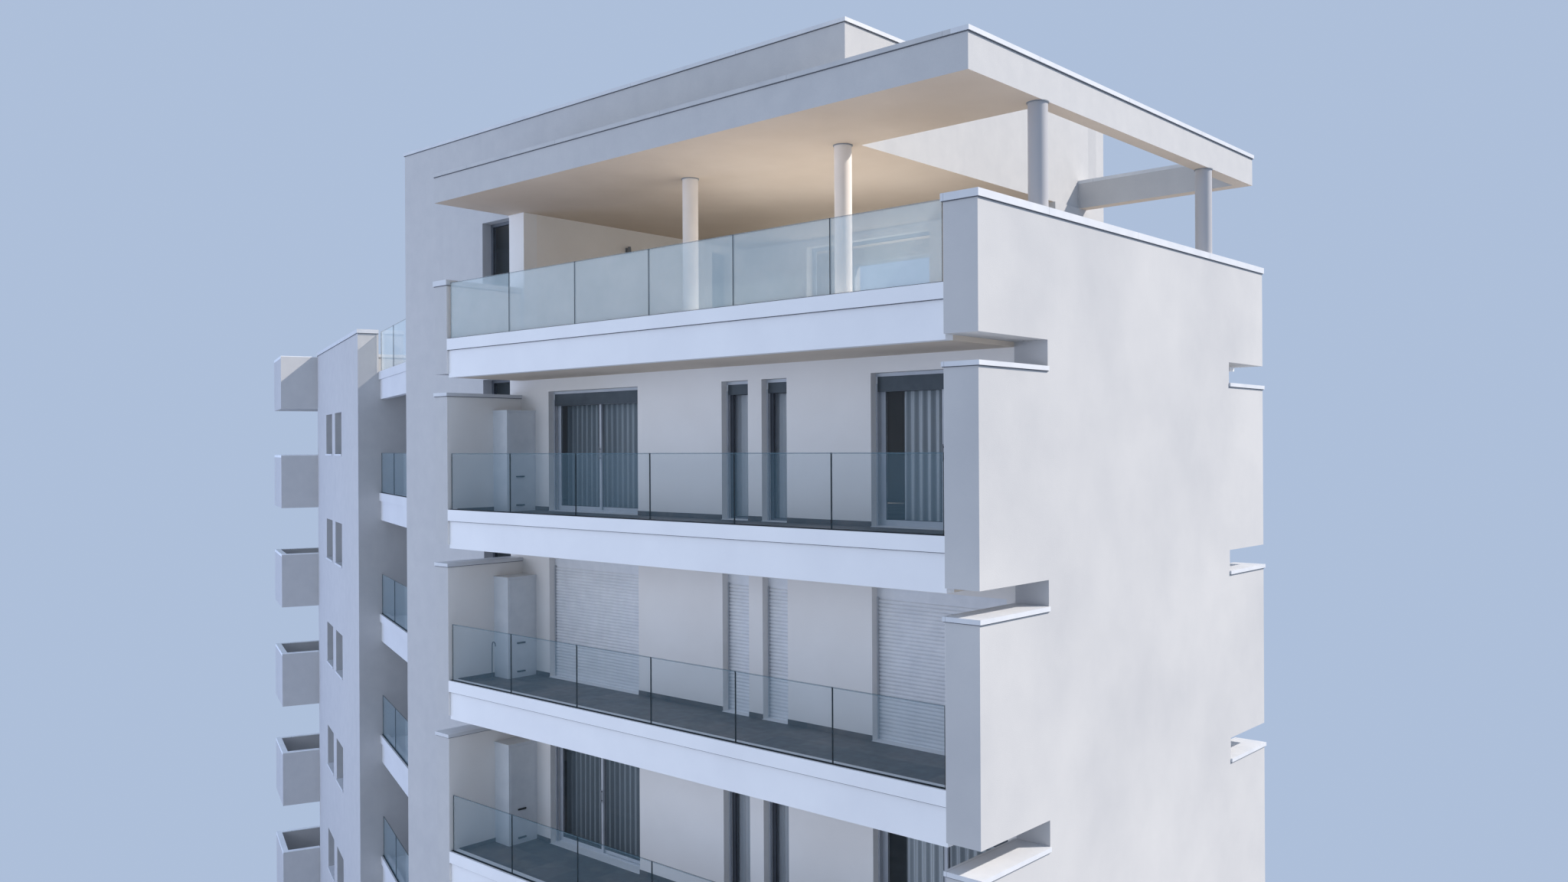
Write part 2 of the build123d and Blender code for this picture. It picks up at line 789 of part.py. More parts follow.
save("wing_outer_walls", [make_wing_outer()])
save("wing_ground_slab", [wing_floor(0, ground_floor_rise)])
save("wing_floor_slabs", [wing_floor(n * storey - floor_slab, n * storey) for n in range(1, storeys + 1)])
save("wing_loggias", wing_edges)
save("wing_rail_glass", wing_rails)
save("wing_box_balconies", make_wing_boxes())
save("wing_copings", [make_wing_copings()])
save("wing_frames", wing_doors + wing_casements)
save("wing_glass", wing_glass)
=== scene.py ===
import json
import math

import bmesh
import bpy
from mathutils import Matrix, Quaternion, Vector


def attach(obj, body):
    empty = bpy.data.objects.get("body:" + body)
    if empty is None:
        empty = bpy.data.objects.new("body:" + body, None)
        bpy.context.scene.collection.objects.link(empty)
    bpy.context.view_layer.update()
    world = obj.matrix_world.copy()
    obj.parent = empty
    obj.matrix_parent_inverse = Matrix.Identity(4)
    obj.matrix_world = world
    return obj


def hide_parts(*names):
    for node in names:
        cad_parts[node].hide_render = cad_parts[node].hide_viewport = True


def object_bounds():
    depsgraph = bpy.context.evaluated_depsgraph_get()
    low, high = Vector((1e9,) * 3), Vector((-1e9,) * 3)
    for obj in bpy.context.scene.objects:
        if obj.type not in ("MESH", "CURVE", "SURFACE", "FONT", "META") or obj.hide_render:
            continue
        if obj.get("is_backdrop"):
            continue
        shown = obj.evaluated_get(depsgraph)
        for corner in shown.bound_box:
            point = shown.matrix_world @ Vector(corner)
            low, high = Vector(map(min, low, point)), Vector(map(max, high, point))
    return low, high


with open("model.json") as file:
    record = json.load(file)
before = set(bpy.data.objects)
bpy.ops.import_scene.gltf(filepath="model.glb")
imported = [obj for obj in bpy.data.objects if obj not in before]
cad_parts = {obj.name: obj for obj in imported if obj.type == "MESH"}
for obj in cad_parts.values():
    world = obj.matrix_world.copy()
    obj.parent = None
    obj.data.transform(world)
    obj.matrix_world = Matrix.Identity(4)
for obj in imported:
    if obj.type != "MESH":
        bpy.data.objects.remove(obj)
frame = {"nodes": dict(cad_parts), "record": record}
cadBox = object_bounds()
cadNodes = frame["nodes"]
scene = bpy.context.scene
print("frame loaded:", len(cadNodes), "nodes")

block = {  # metres, the same places as the solids
    "storey": 3.05,
    "storeys": 7,
    "groundFloorRise": 0.15,
    "floorSlab": 0.3,
    "leftX": -7.6,
    "finX": -3.93,
    "finInnerX": -3.55,
    "gableInnerX": 7.11,
    "gableX": 7.6,
    "frontY": -4.725,
    "beamDepth": 0.2,
    "beamRise": 0.08,
    "bandHeight": 0.2,
    "bandProud": 0.04,
    "railHeight": 1.005,
    "wallY": -3.125,
    "wallInnerY": -2.825,
    "bayY": 2.675,
    "towerX": 4.35,
    "gableRearY": 4.125,
    "rearY": 4.725,
    "wallTopDrop": 0.94,  # from a floor line down to the wall under it, where fins and gable have a gap
    "parapetTop": 22.39,
    "roofTop": 24.36,
    "roofSideX": 7.48,
    "roofRearY": 4.025,
    "soffit": 23.9,
    "columnRadius": 0.13,
    "columns": [(7.36, -2.925), (7.36, 2.275), (4.11, -2.925), (0.86, -2.925)],
    "upperTop": 25.63,
    "upperSideX": 4.32,
    "reveal": 0.2,
    "doorHead": 2.21,
    "stripHead": 2.51,
    "boxHeight": 0.15,
    "doors": [(4.76, 6.98), (-2.72, -0.25)],
    "slits": [(2.63, 3.15), (1.76, 2.34)],
    "strip": (-4.79, -3.91),
    "bayDoor": (4.49, 6.71),
    "rearWindows": [(-5.2, -3.88), (-2.4, -1.08), (0.4, 1.72)],
    "view": (-1.63, 1.57),
    "viewHead": 2.39,
    "windowSill": 1.03,
    "windowHeight": 1.17,
    "paving": 0.02,
    "terraceX": -3.45,
    "terraceY": 2.875,
    "loweredLevel": 5,  # the storey whose shutters are down
    "curtainLevels": [4, 6],
}
wing = {  # along the wing, out to its front, from the corner where it leaves the main block
    "turn": 159.4,
    "start": (-7.6, -2.785),
    "loggiaEnd": 5.39,
    "loggiaDepth": 1.5,
    "loggiaDoor": (2.57, 4.79),
    "step": 0.5,
    "end": 13.75,
    "depth": 7.0298,
    "windows": [(8.42, 9.74), (10.36, 11.68)],
    "boxLength": 2.3,
    "boxOut": (-1.5, 1.56),
    "boxWall": 0.15,
    "boxRise": 1.0,
}
frontOpenings = block["doors"] + block["slits"]
topFloor = block["storeys"] * block["storey"]
wingPlace = Matrix.Translation((*wing["start"], 0)) @ Matrix.Rotation(math.radians(wing["turn"]), 4, "Z")
fit = 0.001  # how far trim is let into what carries it, or kept off its neighbour


def colour(code):  # sRGB hex to linear
    parts = [int(code[i:i + 2], 16) / 255 for i in (1, 3, 5)]
    return tuple(c / 12.92 if c <= 0.04045 else ((c + 0.055) / 1.055) ** 2.4 for c in parts) + (1.0,)


def addNode(tree, kind, inputs=None, **settings):
    # an input is a value, a hex colour or a socket to link from; returns the node's outputs
    node = tree.nodes.new(kind)
    for key, value in settings.items():
        setattr(node, key, value)
    for key, value in (inputs or {}).items():
        if isinstance(value, bpy.types.NodeSocket):
            tree.links.new(value, node.inputs[key])
        else:
            node.inputs[key].default_value = colour(value) if isinstance(value, str) else value
    return node.outputs


def startFinish(name, values):
    material = bpy.data.materials.new(name)
    material.use_nodes = True
    tree = material.node_tree
    tree.nodes.clear()
    shader = addNode(tree, "ShaderNodeBsdfPrincipled", values)
    addNode(tree, "ShaderNodeOutputMaterial", {"Surface": shader["BSDF"]})
    return material, tree, addNode(tree, "ShaderNodeTexCoord")["Object"]


def endFinish(material, ground, coats, reliefs=(), others=None):
    # coats of colour over the ground, each by its own pattern; a relief is a pattern, its depth in
    # metres and its strength; others are patterns for further inputs of the shader
    tree = material.node_tree
    shader = tree.nodes["Principled BSDF"]
    paint, skin = ground, {}
    for share, coat in coats:
        paint = addNode(tree, "ShaderNodeMix", {0: share, 6: paint, 7: coat}, data_type="RGBA")[2]
    for height, depth, strength in reliefs:
        inputs = {"Height": height, "Distance": depth, "Strength": strength, **skin}
        skin = {"Normal": addNode(tree, "ShaderNodeBump", inputs)["Normal"]}
    for name, pattern in {"Base Color": paint, **skin, **(others or {})}.items():
        tree.links.new(pattern, shader.inputs[name])
    return material


def patches(tree, place, size, detail=4.0, stretch=(1, 1, 1), low=0.3, high=0.7):
    # clouds about size metres wide, spread over 0 to 1
    mapped = addNode(tree, "ShaderNodeMapping", {"Vector": place, "Scale": stretch})["Vector"]
    inputs = {"Vector": mapped, "Scale": 1 / size, "Detail": detail, "Roughness": 0.55}
    noise = addNode(tree, "ShaderNodeTexNoise", inputs)["Fac"]
    spread = {"Value": noise, "From Min": low, "From Max": high}
    return addNode(tree, "ShaderNodeMapRange", spread)["Result"]


def layered(tree, layers):
    # sum of patterns, each with its share
    total = 0.0
    for pattern, share in layers:
        inputs = {0: pattern, 1: share, 2: total}
        total = addNode(tree, "ShaderNodeMath", inputs, operation="MULTIPLY_ADD")[0]
    return total


def lines(tree, value, spacing, width):
    # 1 on a line of that width at every spacing, in metres, with edges 2 mm soft
    away = addNode(tree, "ShaderNodeMath", {0: value, 1: spacing / 2}, operation="PINGPONG")[0]
    inputs = {"Value": away, "From Min": width / 2, "From Max": width / 2 + 0.002}
    inputs.update({"To Min": 1.0, "To Max": 0.0})
    return addNode(tree, "ShaderNodeMapRange", inputs)["Result"]


def facing(tree, axis):
    # how far a face looks along an axis, without its sign
    normal = addNode(tree, "ShaderNodeNewGeometry")["Normal"]
    part = addNode(tree, "ShaderNodeSeparateXYZ", {"Vector": normal})[axis]
    return addNode(tree, "ShaderNodeMath", {0: part}, operation="ABSOLUTE")[0]


def beyond(tree, place, axis, limit):
    # 1 past a place along an axis, 0 before it
    part = addNode(tree, "ShaderNodeSeparateXYZ", {"Vector": place})[axis]
    return addNode(tree, "ShaderNodeMath", {0: part, 1: limit}, operation="GREATER_THAN")[0]


def mineralRender(name, pale, dark, second=None, side=None):
    # Mineral render floated by hand: matt, a 1.5 mm grain drawn at 10 mm so that it shows, trowel
    # patches, faint runs; second is the paint past a place along X, or a warm tone on the underside of the
    # slab that is painted warm bounce light
    values = {"Roughness": 0.9, "IOR": 1.45, "Specular IOR Level": 0.25}
    material, tree, place = startFinish(name, values)
    broad = patches(tree, place, 2.2)
    hand = patches(tree, place, 0.3, 3.0)
    runs = patches(tree, place, 0.5, 4.0, (1.5, 1.5, 0.1), 0.45, 0.85)
    grain = patches(tree, place, 0.01, 2.0)
    coats = [(layered(tree, [(broad, 0.22), (hand, 0.36), (runs, 0.17), (grain, 0.25)]), dark)]
    if second:
        if side is None:
            normal = addNode(tree, "ShaderNodeNewGeometry")["Normal"]
            rise = addNode(tree, "ShaderNodeSeparateXYZ", {"Vector": normal})[2]
            inputs = {"Value": rise, "From Min": -0.4, "From Max": -0.7}
            where = addNode(tree, "ShaderNodeMapRange", inputs)["Result"]
        else:
            where = beyond(tree, place, 0, side)
        inputs = {0: broad, 6: second[0], 7: second[1]}
        coats.append((where, addNode(tree, "ShaderNodeMix", inputs, data_type="RGBA")[2]))
    return endFinish(material, pale, coats, [(hand, 0.004, 0.3), (grain, 0.0015, 0.5)])


def rolledPaint(name, pale, dark, roughness, patchSize=1.2, outerShade=None):
    # Masonry paint laid on by roller over smooth render or board: even, with a faint stipple of 2 mm
    # drawn at 7 mm; outerShade is a greyer tone of painted shade and the place along X where it begins
    values = {"Roughness": roughness, "IOR": 1.48, "Specular IOR Level": 0.35}
    material, tree, place = startFinish(name, values)
    broad = patches(tree, place, patchSize)
    stipple = patches(tree, place, 0.007, 2.0)
    coats = [(layered(tree, [(broad, 0.75), (stipple, 0.25)]), dark)]
    if outerShade:
        coats.append((beyond(tree, place, 0, outerShade[1]), outerShade[0]))
    return endFinish(material, pale, coats, [(stipple, 0.0004, 0.5)])


def castConcrete(name):
    # Concrete cast against boards 1.25 m wide: cloudy grey, faint board lines, pores of a few
    # millimetres drawn at 20 mm so that they show
    material, tree, place = startFinish(name, {"Roughness": 0.82, "IOR": 1.5})
    cloud = patches(tree, place, 0.8, 6.0)
    pores = patches(tree, place, 0.02, 3.0, (1, 1, 1), 0.55, 0.75)
    along = addNode(tree, "ShaderNodeSeparateXYZ", {"Vector": place})[0]
    marks = layered(tree, [(pores, 0.5), (lines(tree, along, 1.25, 0.006), 0.5)])
    return endFinish(material, "#A8A6A1", [(cloud, "#8E8C87"), (marks, "#6F6D69")], [(marks, -0.001, 0.5)])


def foldedSheet(name, pale, dark, edge=None):
    # Aluminium sheet folded over the wall tops and powder coated: satin, a 6 mm joint every 2.5 m,
    # slight buckling, dust; edge holds the tones of a strip and where it ends along X and Y
    values = {"Roughness": 0.4, "IOR": 1.5, "Specular IOR Level": 0.5}
    material, tree, place = startFinish(name, values)
    inputs = {"Vector": place, "Location": (0.37, 0.61, 0.0)}
    moved = addNode(tree, "ShaderNodeMapping", inputs)["Vector"]
    parts = addNode(tree, "ShaderNodeSeparateXYZ", {"Vector": moved})
    joints = layered(tree, [(lines(tree, part, 2.5, 0.006), 0.4) for part in (parts[0], parts[1])])
    dust = patches(tree, place, 0.4, 5.0)
    buckle = patches(tree, place, 0.7, 1.0)
    ground, coats = pale, [(dust, dark)]
    if edge:
        rest = addNode(tree, "ShaderNodeMix", {0: dust, 6: pale, 7: dark}, data_type="RGBA")[2]
        inputs = {0: beyond(tree, place, 1, edge["endY"]), 1: beyond(tree, place, 0, edge["endX"])}
        where = addNode(tree, "ShaderNodeMath", inputs, operation="MAXIMUM")[0]
        ground, coats = edge["tones"][0], [(dust, edge["tones"][1]), (where, rest)]
    coats.append((joints, "#6E7276"))
    return endFinish(material, ground, coats, [(buckle, 0.003, 0.3), (joints, -0.0015, 0.6)])


def stonewareTiles(name):
    # Porcelain stoneware 600 mm square with 4 mm joints: slate brown, each tile its own tone, clouded
    # and worn to a dull sheen; paler stone on the terrace
    material, tree, place = startFinish(name, {"Roughness": 0.55, "IOR": 1.52})
    inputs = {"Vector": place, "Location": (0.05, 0.125, 0.0)}
    moved = addNode(tree, "ShaderNodeMapping", inputs)["Vector"]
    sizes = {"Vector": moved, "Scale": 1.0, "Mortar Size": 0.004, "Mortar Smooth": 0.1, "Bias": 0.0}
    sizes.update({"Brick Width": 0.6, "Row Height": 0.6})
    slate = {"Color1": "#574B46", "Color2": "#332C2A", "Mortar": "#5F5752"}
    stone = {"Color1": "#DCCDB6", "Color2": "#D2C2A9", "Mortar": "#B5A894"}
    lower = addNode(tree, "ShaderNodeTexBrick", {**sizes, **slate}, offset=0.0)
    upper = addNode(tree, "ShaderNodeTexBrick", {**sizes, **stone}, offset=0.0)
    onTop = beyond(tree, place, 2, topFloor - block["floorSlab"])
    cloud = patches(tree, place, 0.12, 6.0)
    stain = patches(tree, place, 0.55, 3.0, (1, 1, 1), 0.5, 0.75)
    inputs = {"Value": cloud, "To Min": 0.4, "To Max": 0.62}
    worn = {"Roughness": addNode(tree, "ShaderNodeMapRange", inputs)["Result"]}
    coats = [(onTop, upper["Color"]), (layered(tree, [(cloud, 0.12), (stain, 0.3)]), "#9A8576")]
    return endFinish(material, lower["Color"], coats, [(lower["Fac"], -0.002, 0.7)], worn)


def roofSheet(name):
    # Bitumen roofing sheet with 1 mm slate grit drawn at 12 mm so that it shows: dull grey, 30 mm laps
    # a metre apart
    material, tree, place = startFinish(name, {"Roughness": 0.9, "IOR": 1.45})
    across = addNode(tree, "ShaderNodeSeparateXYZ", {"Vector": place})[1]
    laps = lines(tree, across, 1.0, 0.03)
    grit = patches(tree, place, 0.012, 3.0)
    coats = [(grit, "#6E6F72"), (layered(tree, [(laps, 0.5)]), "#57585A")]
    return endFinish(material, "#8B8C8E", coats, [(layered(tree, [(grit, 0.6), (laps, 0.4)]), 0.003, 0.6)])


def evenSkin(name, pale, dark, roughness):
    # Powder coat, lacquer, moulded nylon or rubber, and dark strips and plates of painted shade: one even
    # tone, satin or dull by its roughness, with a trace of orange peel 1 to 2 mm wide drawn at 5 mm
    values = {"Roughness": roughness, "IOR": 1.5, "Specular IOR Level": 0.5}
    material, tree, place = startFinish(name, values)
    film = patches(tree, place, 0.25)
    peel = patches(tree, place, 0.005, 1.0)
    return endFinish(material, pale, [(film, dark)], [(peel, 0.0002, 0.4)])


def clearPane(name, tones, edge, cover, slant, terrace, cutEnds=False):
    # Float glass: clear when faced, mirroring the sky at a slant, dark green through its cut edges;
    # terrace gives the tones and the cover of the top floor's panes past a place along Y, on the rail glass a
    # pale veil of painted sky reflection
    values = {"Roughness": 0.03, "IOR": 1.52, "Specular IOR Level": 0.8}
    material, tree, place = startFinish(name, values)
    smear = patches(tree, place, 0.7, 3.0)
    inputs = {0: smear, 6: terrace["tones"][0], 7: terrace["tones"][1]}
    upper = addNode(tree, "ShaderNodeMix", inputs, data_type="RGBA")[2]
    inputs = {0: beyond(tree, place, 2, topFloor), 1: beyond(tree, place, 1, terrace["after"])}
    onTop = addNode(tree, "ShaderNodeMath", inputs, operation="MULTIPLY")[0]
    cut = facing(tree, 2)
    if cutEnds:
        cut = addNode(tree, "ShaderNodeMath", {0: cut, 1: facing(tree, 0)}, operation="MAXIMUM")[0]
    inputs = {"Value": cut, "From Min": 0.5, "From Max": 0.6}
    onEdge = addNode(tree, "ShaderNodeMapRange", inputs)["Result"]
    if cutEnds:  # the top arris, a 1.5 mm bevel drawn at 16 mm so that it shows
        rise = addNode(tree, "ShaderNodeSeparateXYZ", {"Vector": place})[2]
        inputs = {0: rise, 1: block["beamRise"] + block["railHeight"]}
        down = addNode(tree, "ShaderNodeMath", inputs, operation="SUBTRACT")[0]
        arris = layered(tree, [(lines(tree, down, block["storey"], 0.032), 0.45)])
        onEdge = addNode(tree, "ShaderNodeMath", {0: onEdge, 1: arris}, operation="MAXIMUM")[0]
    turned = addNode(tree, "ShaderNodeLayerWeight", {"Blend": 0.5})["Facing"]
    steep = addNode(tree, "ShaderNodeMath", {0: turned, 1: 4.0}, operation="POWER")[0]
    inputs = {"Value": onTop, "To Min": cover, "To Max": terrace["cover"]}
    least = addNode(tree, "ShaderNodeMapRange", inputs)["Result"]
    inputs = {"Value": steep, "To Min": least, "To Max": slant}
    body = addNode(tree, "ShaderNodeMapRange", inputs)["Result"]
    rim = layered(tree, [(onEdge, 0.9)])
    alpha = {"Alpha": addNode(tree, "ShaderNodeMath", {0: body, 1: rim}, operation="MAXIMUM")[0]}
    coats = [(smear, tones[1]), (onTop, upper), (onEdge, edge)]
    return endFinish(material, tones[0], coats, (), alpha)


def voileCloth(name, pale, dark, near, thread):
    # Polyester voile, plain weave of 0.5 mm threads drawn at 4 mm so that it shows: sheer, soft sheen,
    # with painted shade where a fold stands edge on; near is the cloth's tone past a place along X
    material, tree, place = startFinish(name, {"Roughness": 0.85, "IOR": 1.45, "Sheen Weight": 0.3})
    uv = addNode(tree, "ShaderNodeUVMap", uv_map="weave")["UV"]
    inputs = {"Vector": uv, "Scale": 40.0, "Distortion": 1.0}
    warp = addNode(tree, "ShaderNodeTexWave", inputs, bands_direction="X")["Fac"]
    weft = addNode(tree, "ShaderNodeTexWave", inputs, bands_direction="Y")["Fac"]
    weave = layered(tree, [(warp, 0.5), (weft, 0.5)])
    # painted shade in the folds, darker where the cloth faces along X
    inputs = {"Value": facing(tree, 0), "From Min": 0.3, "From Max": 0.95}
    foldShade = addNode(tree, "ShaderNodeMapRange", inputs)["Result"]
    coats = [(beyond(tree, place, 0, near[1]), near[0]), (layered(tree, [(foldShade, 0.75)]), dark)]
    coats.append((layered(tree, [(weave, 0.4)]), thread))
    return endFinish(material, pale, coats, [(weave, 0.0008, 0.4)])


renderTones = ("#C6C5C4", "#B8B8B9")
innerPaint = ("#F1EEEA", "#E8E4DF")
paneTones = ("#5B6870", "#4E5B63")
railTones = ("#7096A6", "#668C9B")
terracePane = {"after": 2.9, "cover": 0.03, "tones": paneTones}
# a pale veil of painted sky reflection on the top floor's rail glass
terraceRailSkyVeil = {"after": block["frontY"], "cover": 0.35, "tones": ("#DDEAEC", "#D0E0E3")}
outerColumnShade = ("#B1B0B2", 6.0)
# painted shade: a greyer tone on the outer columns, past x = 6 m
nearCloth = ("#F4FAFD", 4.0)
roofEdge = {"tones": renderTones, "endX": 7.25, "endY": -4.45}
finishes = {
    "white_render": mineralRender("mineral_render", *renderTones),
    "smooth_render": rolledPaint("masonry_paint", "#F0F0F1", "#E7E7E9", 0.78),
    "soffit_paint": rolledPaint("soffit_board_paint", "#DACDBD", "#CFC1B0", 0.85),
    "column_paint": rolledPaint("column_enamel", "#F2EAE1", "#EAE1D8", 0.5, 0.5, outerColumnShade),
    "concrete": castConcrete("cast_concrete"),
    "coping_metal": foldedSheet("folded_aluminium", "#D9DADC", "#CDCFD3"),
    "stoneware_tiles": stonewareTiles("porcelain_stoneware"),
    "roof_membrane": roofSheet("slated_bitumen_sheet"),
    "rail_glass": clearPane("laminated_glass", railTones, "#22383A", 0.1, 0.42, terraceRailSkyVeil, True),
    "window_glass": clearPane("double_glazing", paneTones, "#2E3B3C", 0.1, 0.8, terracePane),
    "light_frames": evenSkin("powder_coat_light_grey", "#C6C9CE", "#BABEC4", 0.42),
    "dark_frames": evenSkin("powder_coat_anthracite", "#45484E", "#3A3D43", 0.45),
    "shutter_paint": evenSkin("shutter_lacquer", "#E9EAEC", "#DDDFE2", 0.5),
    "curtain_cloth": voileCloth("polyester_voile", "#AEB9BE", "#5A6368", nearCloth, "#C3CBCF"),
    "cabinet_paint": evenSkin("cabinet_lacquer", "#DEE1E3", "#D3D7DA", 0.45),
    "dark_handles": evenSkin("black_nylon", "#1E1F22", "#17181A", 0.5),
}
ownFinish = {  # nodes that differ from their slot's finish
    # its underside in a warm tone: painted warm bounce light
    "roof_slab": mineralRender("roof_render", *renderTones, ("#D6C6B5", "#CAB9A7")),
    "front_wall": mineralRender("front_render", *renderTones, innerPaint, block["finX"]),
    "left_fins": mineralRender("fin_render", *renderTones, innerPaint, block["finInnerX"] - 2 * fit),
    "gable_wall": mineralRender("gable_render", *innerPaint, renderTones, block["gableInnerX"] + 2 * fit),
    "roof_copings": foldedSheet("roof_edge_aluminium", "#D9DADC", "#CDCFD3", roofEdge),
    "slit_window_frames": evenSkin("powder_coat_slate_grey", "#6B6F76", "#60646B", 0.45),
    "penthouse_walls": rolledPaint("terrace_wall_paint", "#F1EBE3", "#E8E1D8", 0.78),
    "wing_loggias": rolledPaint("wing_balcony_paint", "#D8D9DB", "#CECFD2", 0.78),
}
trim = {
    "seal": evenSkin("rubber_seal", "#1B1C1E", "#151617", 0.7),
    # dark grey strips of painted shadow under the copings and the beams' proud bands
    "shadowStrip": evenSkin("painted_shadow_grey", "#5C5F66", "#505359", 0.6),
    "fitting": evenSkin("powder_coat_silver_grey", "#8F9296", "#7C8084", 0.35),
    # dark plates of painted shade over the shutter boxes
    "plate": evenSkin("painted_slot_shade", "#4A5258", "#41494F", 0.25),
    "cap": foldedSheet("pale_folded_aluminium", "#EEF0F2", "#E3E6E9"),
    "blind": voileCloth("polyester_blind", "#F2F5F7", "#C9D0D4", ("#F2F5F7", 4.0), "#E9EDEF"),
}
print("finishes made:", len(finishes) + len(ownFinish) + len(trim))

for part in frame["record"]["subparts"]:
    node = cadNodes[part["node"]]
    finish = ownFinish.get(part["node"], finishes[part["material_slot"]])
    if not node.material_slots:
        node.data.materials.append(finish)
    for slot in node.material_slots:
        slot.material = finish
print("solids finished")


def boxInto(mesh, low, high, soften=0.0, place=None):
    # a box between two corners, with its edges softened
    verts = bmesh.ops.create_cube(mesh, size=1.0)["verts"]
    size = Vector(high) - Vector(low)
    middle = (Vector(high) + Vector(low)) / 2
    for vert in verts:
        vert.co = vert.co * size + middle
    if soften:
        edges = list({edge for vert in verts for edge in vert.link_edges})
        made = bmesh.ops.bevel(mesh, geom=edges, offset=soften, segments=2, profile=0.5, affect="EDGES")
        verts = list({vert for face in made["faces"] for vert in face.verts})
    if place is not None:
        bmesh.ops.transform(mesh, matrix=place, verts=verts)


def profileInto(mesh, outline, start, end, axis, place=None):
    # a closed outline in the two other directions, drawn out along an axis
    rings = []
    for along in (start, end):
        points = [list(pair) for pair in outline]
        for point in points:
            point.insert(axis, along)
        rings.append([mesh.verts.new(point) for point in points])
    for i in range(len(outline)):
        j = (i + 1) % len(outline)
        mesh.faces.new((rings[0][i], rings[0][j], rings[1][j], rings[1][i]))
    mesh.faces.new(rings[0])
    mesh.faces.new(rings[1])
    if place is not None:
        bmesh.ops.transform(mesh, matrix=place, verts=rings[0] + rings[1])


def coneInto(mesh, middle, radii, height, segments):
    sizes = {"radius1": radii[0], "radius2": radii[1], "depth": height, "segments": segments}
    bmesh.ops.create_cone(mesh, cap_ends=True, matrix=Matrix.Translation(middle), **sizes)


def addItem(name, data):
    item = bpy.data.objects.new(name, data)
    scene.collection.objects.link(item)
    return item


def plainMesh(holder):
    # what the holder makes, as a mesh of its own
    mesh = bpy.data.meshes.new_from_object(holder.evaluated_get(bpy.context.evaluated_depsgraph_get()))
    bpy.data.objects.remove(holder)
    return mesh


def addPiece(name, mesh, slotName, finish=None, smooth=False):
    # a mesh or bmesh as a piece, in its slot's finish unless another is given
    data = mesh
    if isinstance(mesh, bmesh.types.BMesh):
        bmesh.ops.recalc_face_normals(mesh, faces=mesh.faces)
        data = bpy.data.meshes.new(name)
        mesh.to_mesh(data)
        mesh.free()
    data.materials.clear()
    data.materials.append(finish or finishes[slotName])
    data.polygons.foreach_set("use_smooth", [smooth] * len(data.polygons))
    piece = addItem(name, data)
    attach(piece, "root")
    return piece


def floorOf(level):
    return block["groundFloorRise"] if level == 0 else level * block["storey"]


def headOf(level):
    return level * block["storey"] + block["doorHead"] - block["boxHeight"]


shutter = {  # roller shutters, lowered on one storey
    "pitch": 0.055,
    "gap": 0.008,
    "bulge": 0.007,
    "thickness": 0.008,
    "setback": 0.141,
    "play": 0.005,
    "barHeight": 0.05,
    "barFaces": (-0.01, 0.008),
    "hookFaces": (0.006, 0.009),
    "guide": 0.028,
    "guideDepth": 0.045,
    "guideAhead": 0.022,
    "guideSheet": 0.002,
}


def slatTree(finish):
    # one slat bowed outwards, repeated up the opening
    tree = bpy.data.node_groups.new("shutterSlats", "GeometryNodeTree")
    for name in ("width", "pitch", "gap", "thickness", "bulge", "middle", "face", "bottom"):
        tree.interface.new_socket(name, in_out="INPUT", socket_type="NodeSocketFloat")
    tree.interface.new_socket("count", in_out="INPUT", socket_type="NodeSocketInt")
    tree.interface.new_socket("Geometry", in_out="OUTPUT", socket_type="NodeSocketGeometry")
    given = addNode(tree, "NodeGroupInput")
    inputs = {0: given["pitch"], 1: given["gap"]}
    high = addNode(tree, "ShaderNodeMath", inputs, operation="SUBTRACT")[0]
    inputs = {0: given["width"], 1: given["thickness"], 2: high}
    size = addNode(tree, "ShaderNodeCombineXYZ", inputs)[0]
    inputs = {"Size": size, "Vertices X": 2, "Vertices Y": 2, "Vertices Z": 7}
    slat = addNode(tree, "GeometryNodeMeshCube", inputs)["Mesh"]
    # the slat bows out by the bulge at its middle and by nothing at its two edges
    spot = addNode(tree, "GeometryNodeInputPosition")[0]
    rise = addNode(tree, "ShaderNodeSeparateXYZ", {0: spot})[2]
    share = addNode(tree, "ShaderNodeMath", {0: rise, 1: high}, operation="DIVIDE")[0]
    square = addNode(tree, "ShaderNodeMath", {0: share, 1: share}, operation="MULTIPLY")[0]
    dip = addNode(tree, "ShaderNodeMath", {0: square, 1: 4.0, 2: -1.0}, operation="MULTIPLY_ADD")[0]
    bow = addNode(tree, "ShaderNodeMath", {0: dip, 1: given["bulge"]}, operation="MULTIPLY")[0]
    shift = addNode(tree, "ShaderNodeCombineXYZ", {1: bow})[0]
    bowed = addNode(tree, "GeometryNodeSetPosition", {"Geometry": slat, "Offset": shift})[0]
    inputs = {0: given["middle"], 1: given["face"], 2: given["bottom"]}
    start = addNode(tree, "ShaderNodeCombineXYZ", inputs)[0]
    step = addNode(tree, "ShaderNodeCombineXYZ", {2: given["pitch"]})[0]
    inputs = {"Count": given["count"], "Start Location": start, "Offset": step}
    row = addNode(tree, "GeometryNodeMeshLine", inputs)[0]
    stack = addNode(tree, "GeometryNodeInstanceOnPoints", {"Points": row, "Instance": bowed})[0]
    real = addNode(tree, "GeometryNodeRealizeInstances", {0: stack})[0]
    painted = addNode(tree, "GeometryNodeSetMaterial", {"Geometry": real, "Material": finish})[0]
    addNode(tree, "NodeGroupOutput", {0: painted})
    return tree


def meshOfTree(tree, inputs):
    holder = addItem("holder", bpy.data.meshes.new("holder"))
    modifier = holder.modifiers.new("tree", "NODES")
    modifier.node_group = tree
    for item in tree.interface.items_tree:
        if item.in_out == "INPUT" and item.name in inputs:
            modifier[item.identifier] = inputs[item.name]
    return plainMesh(holder)


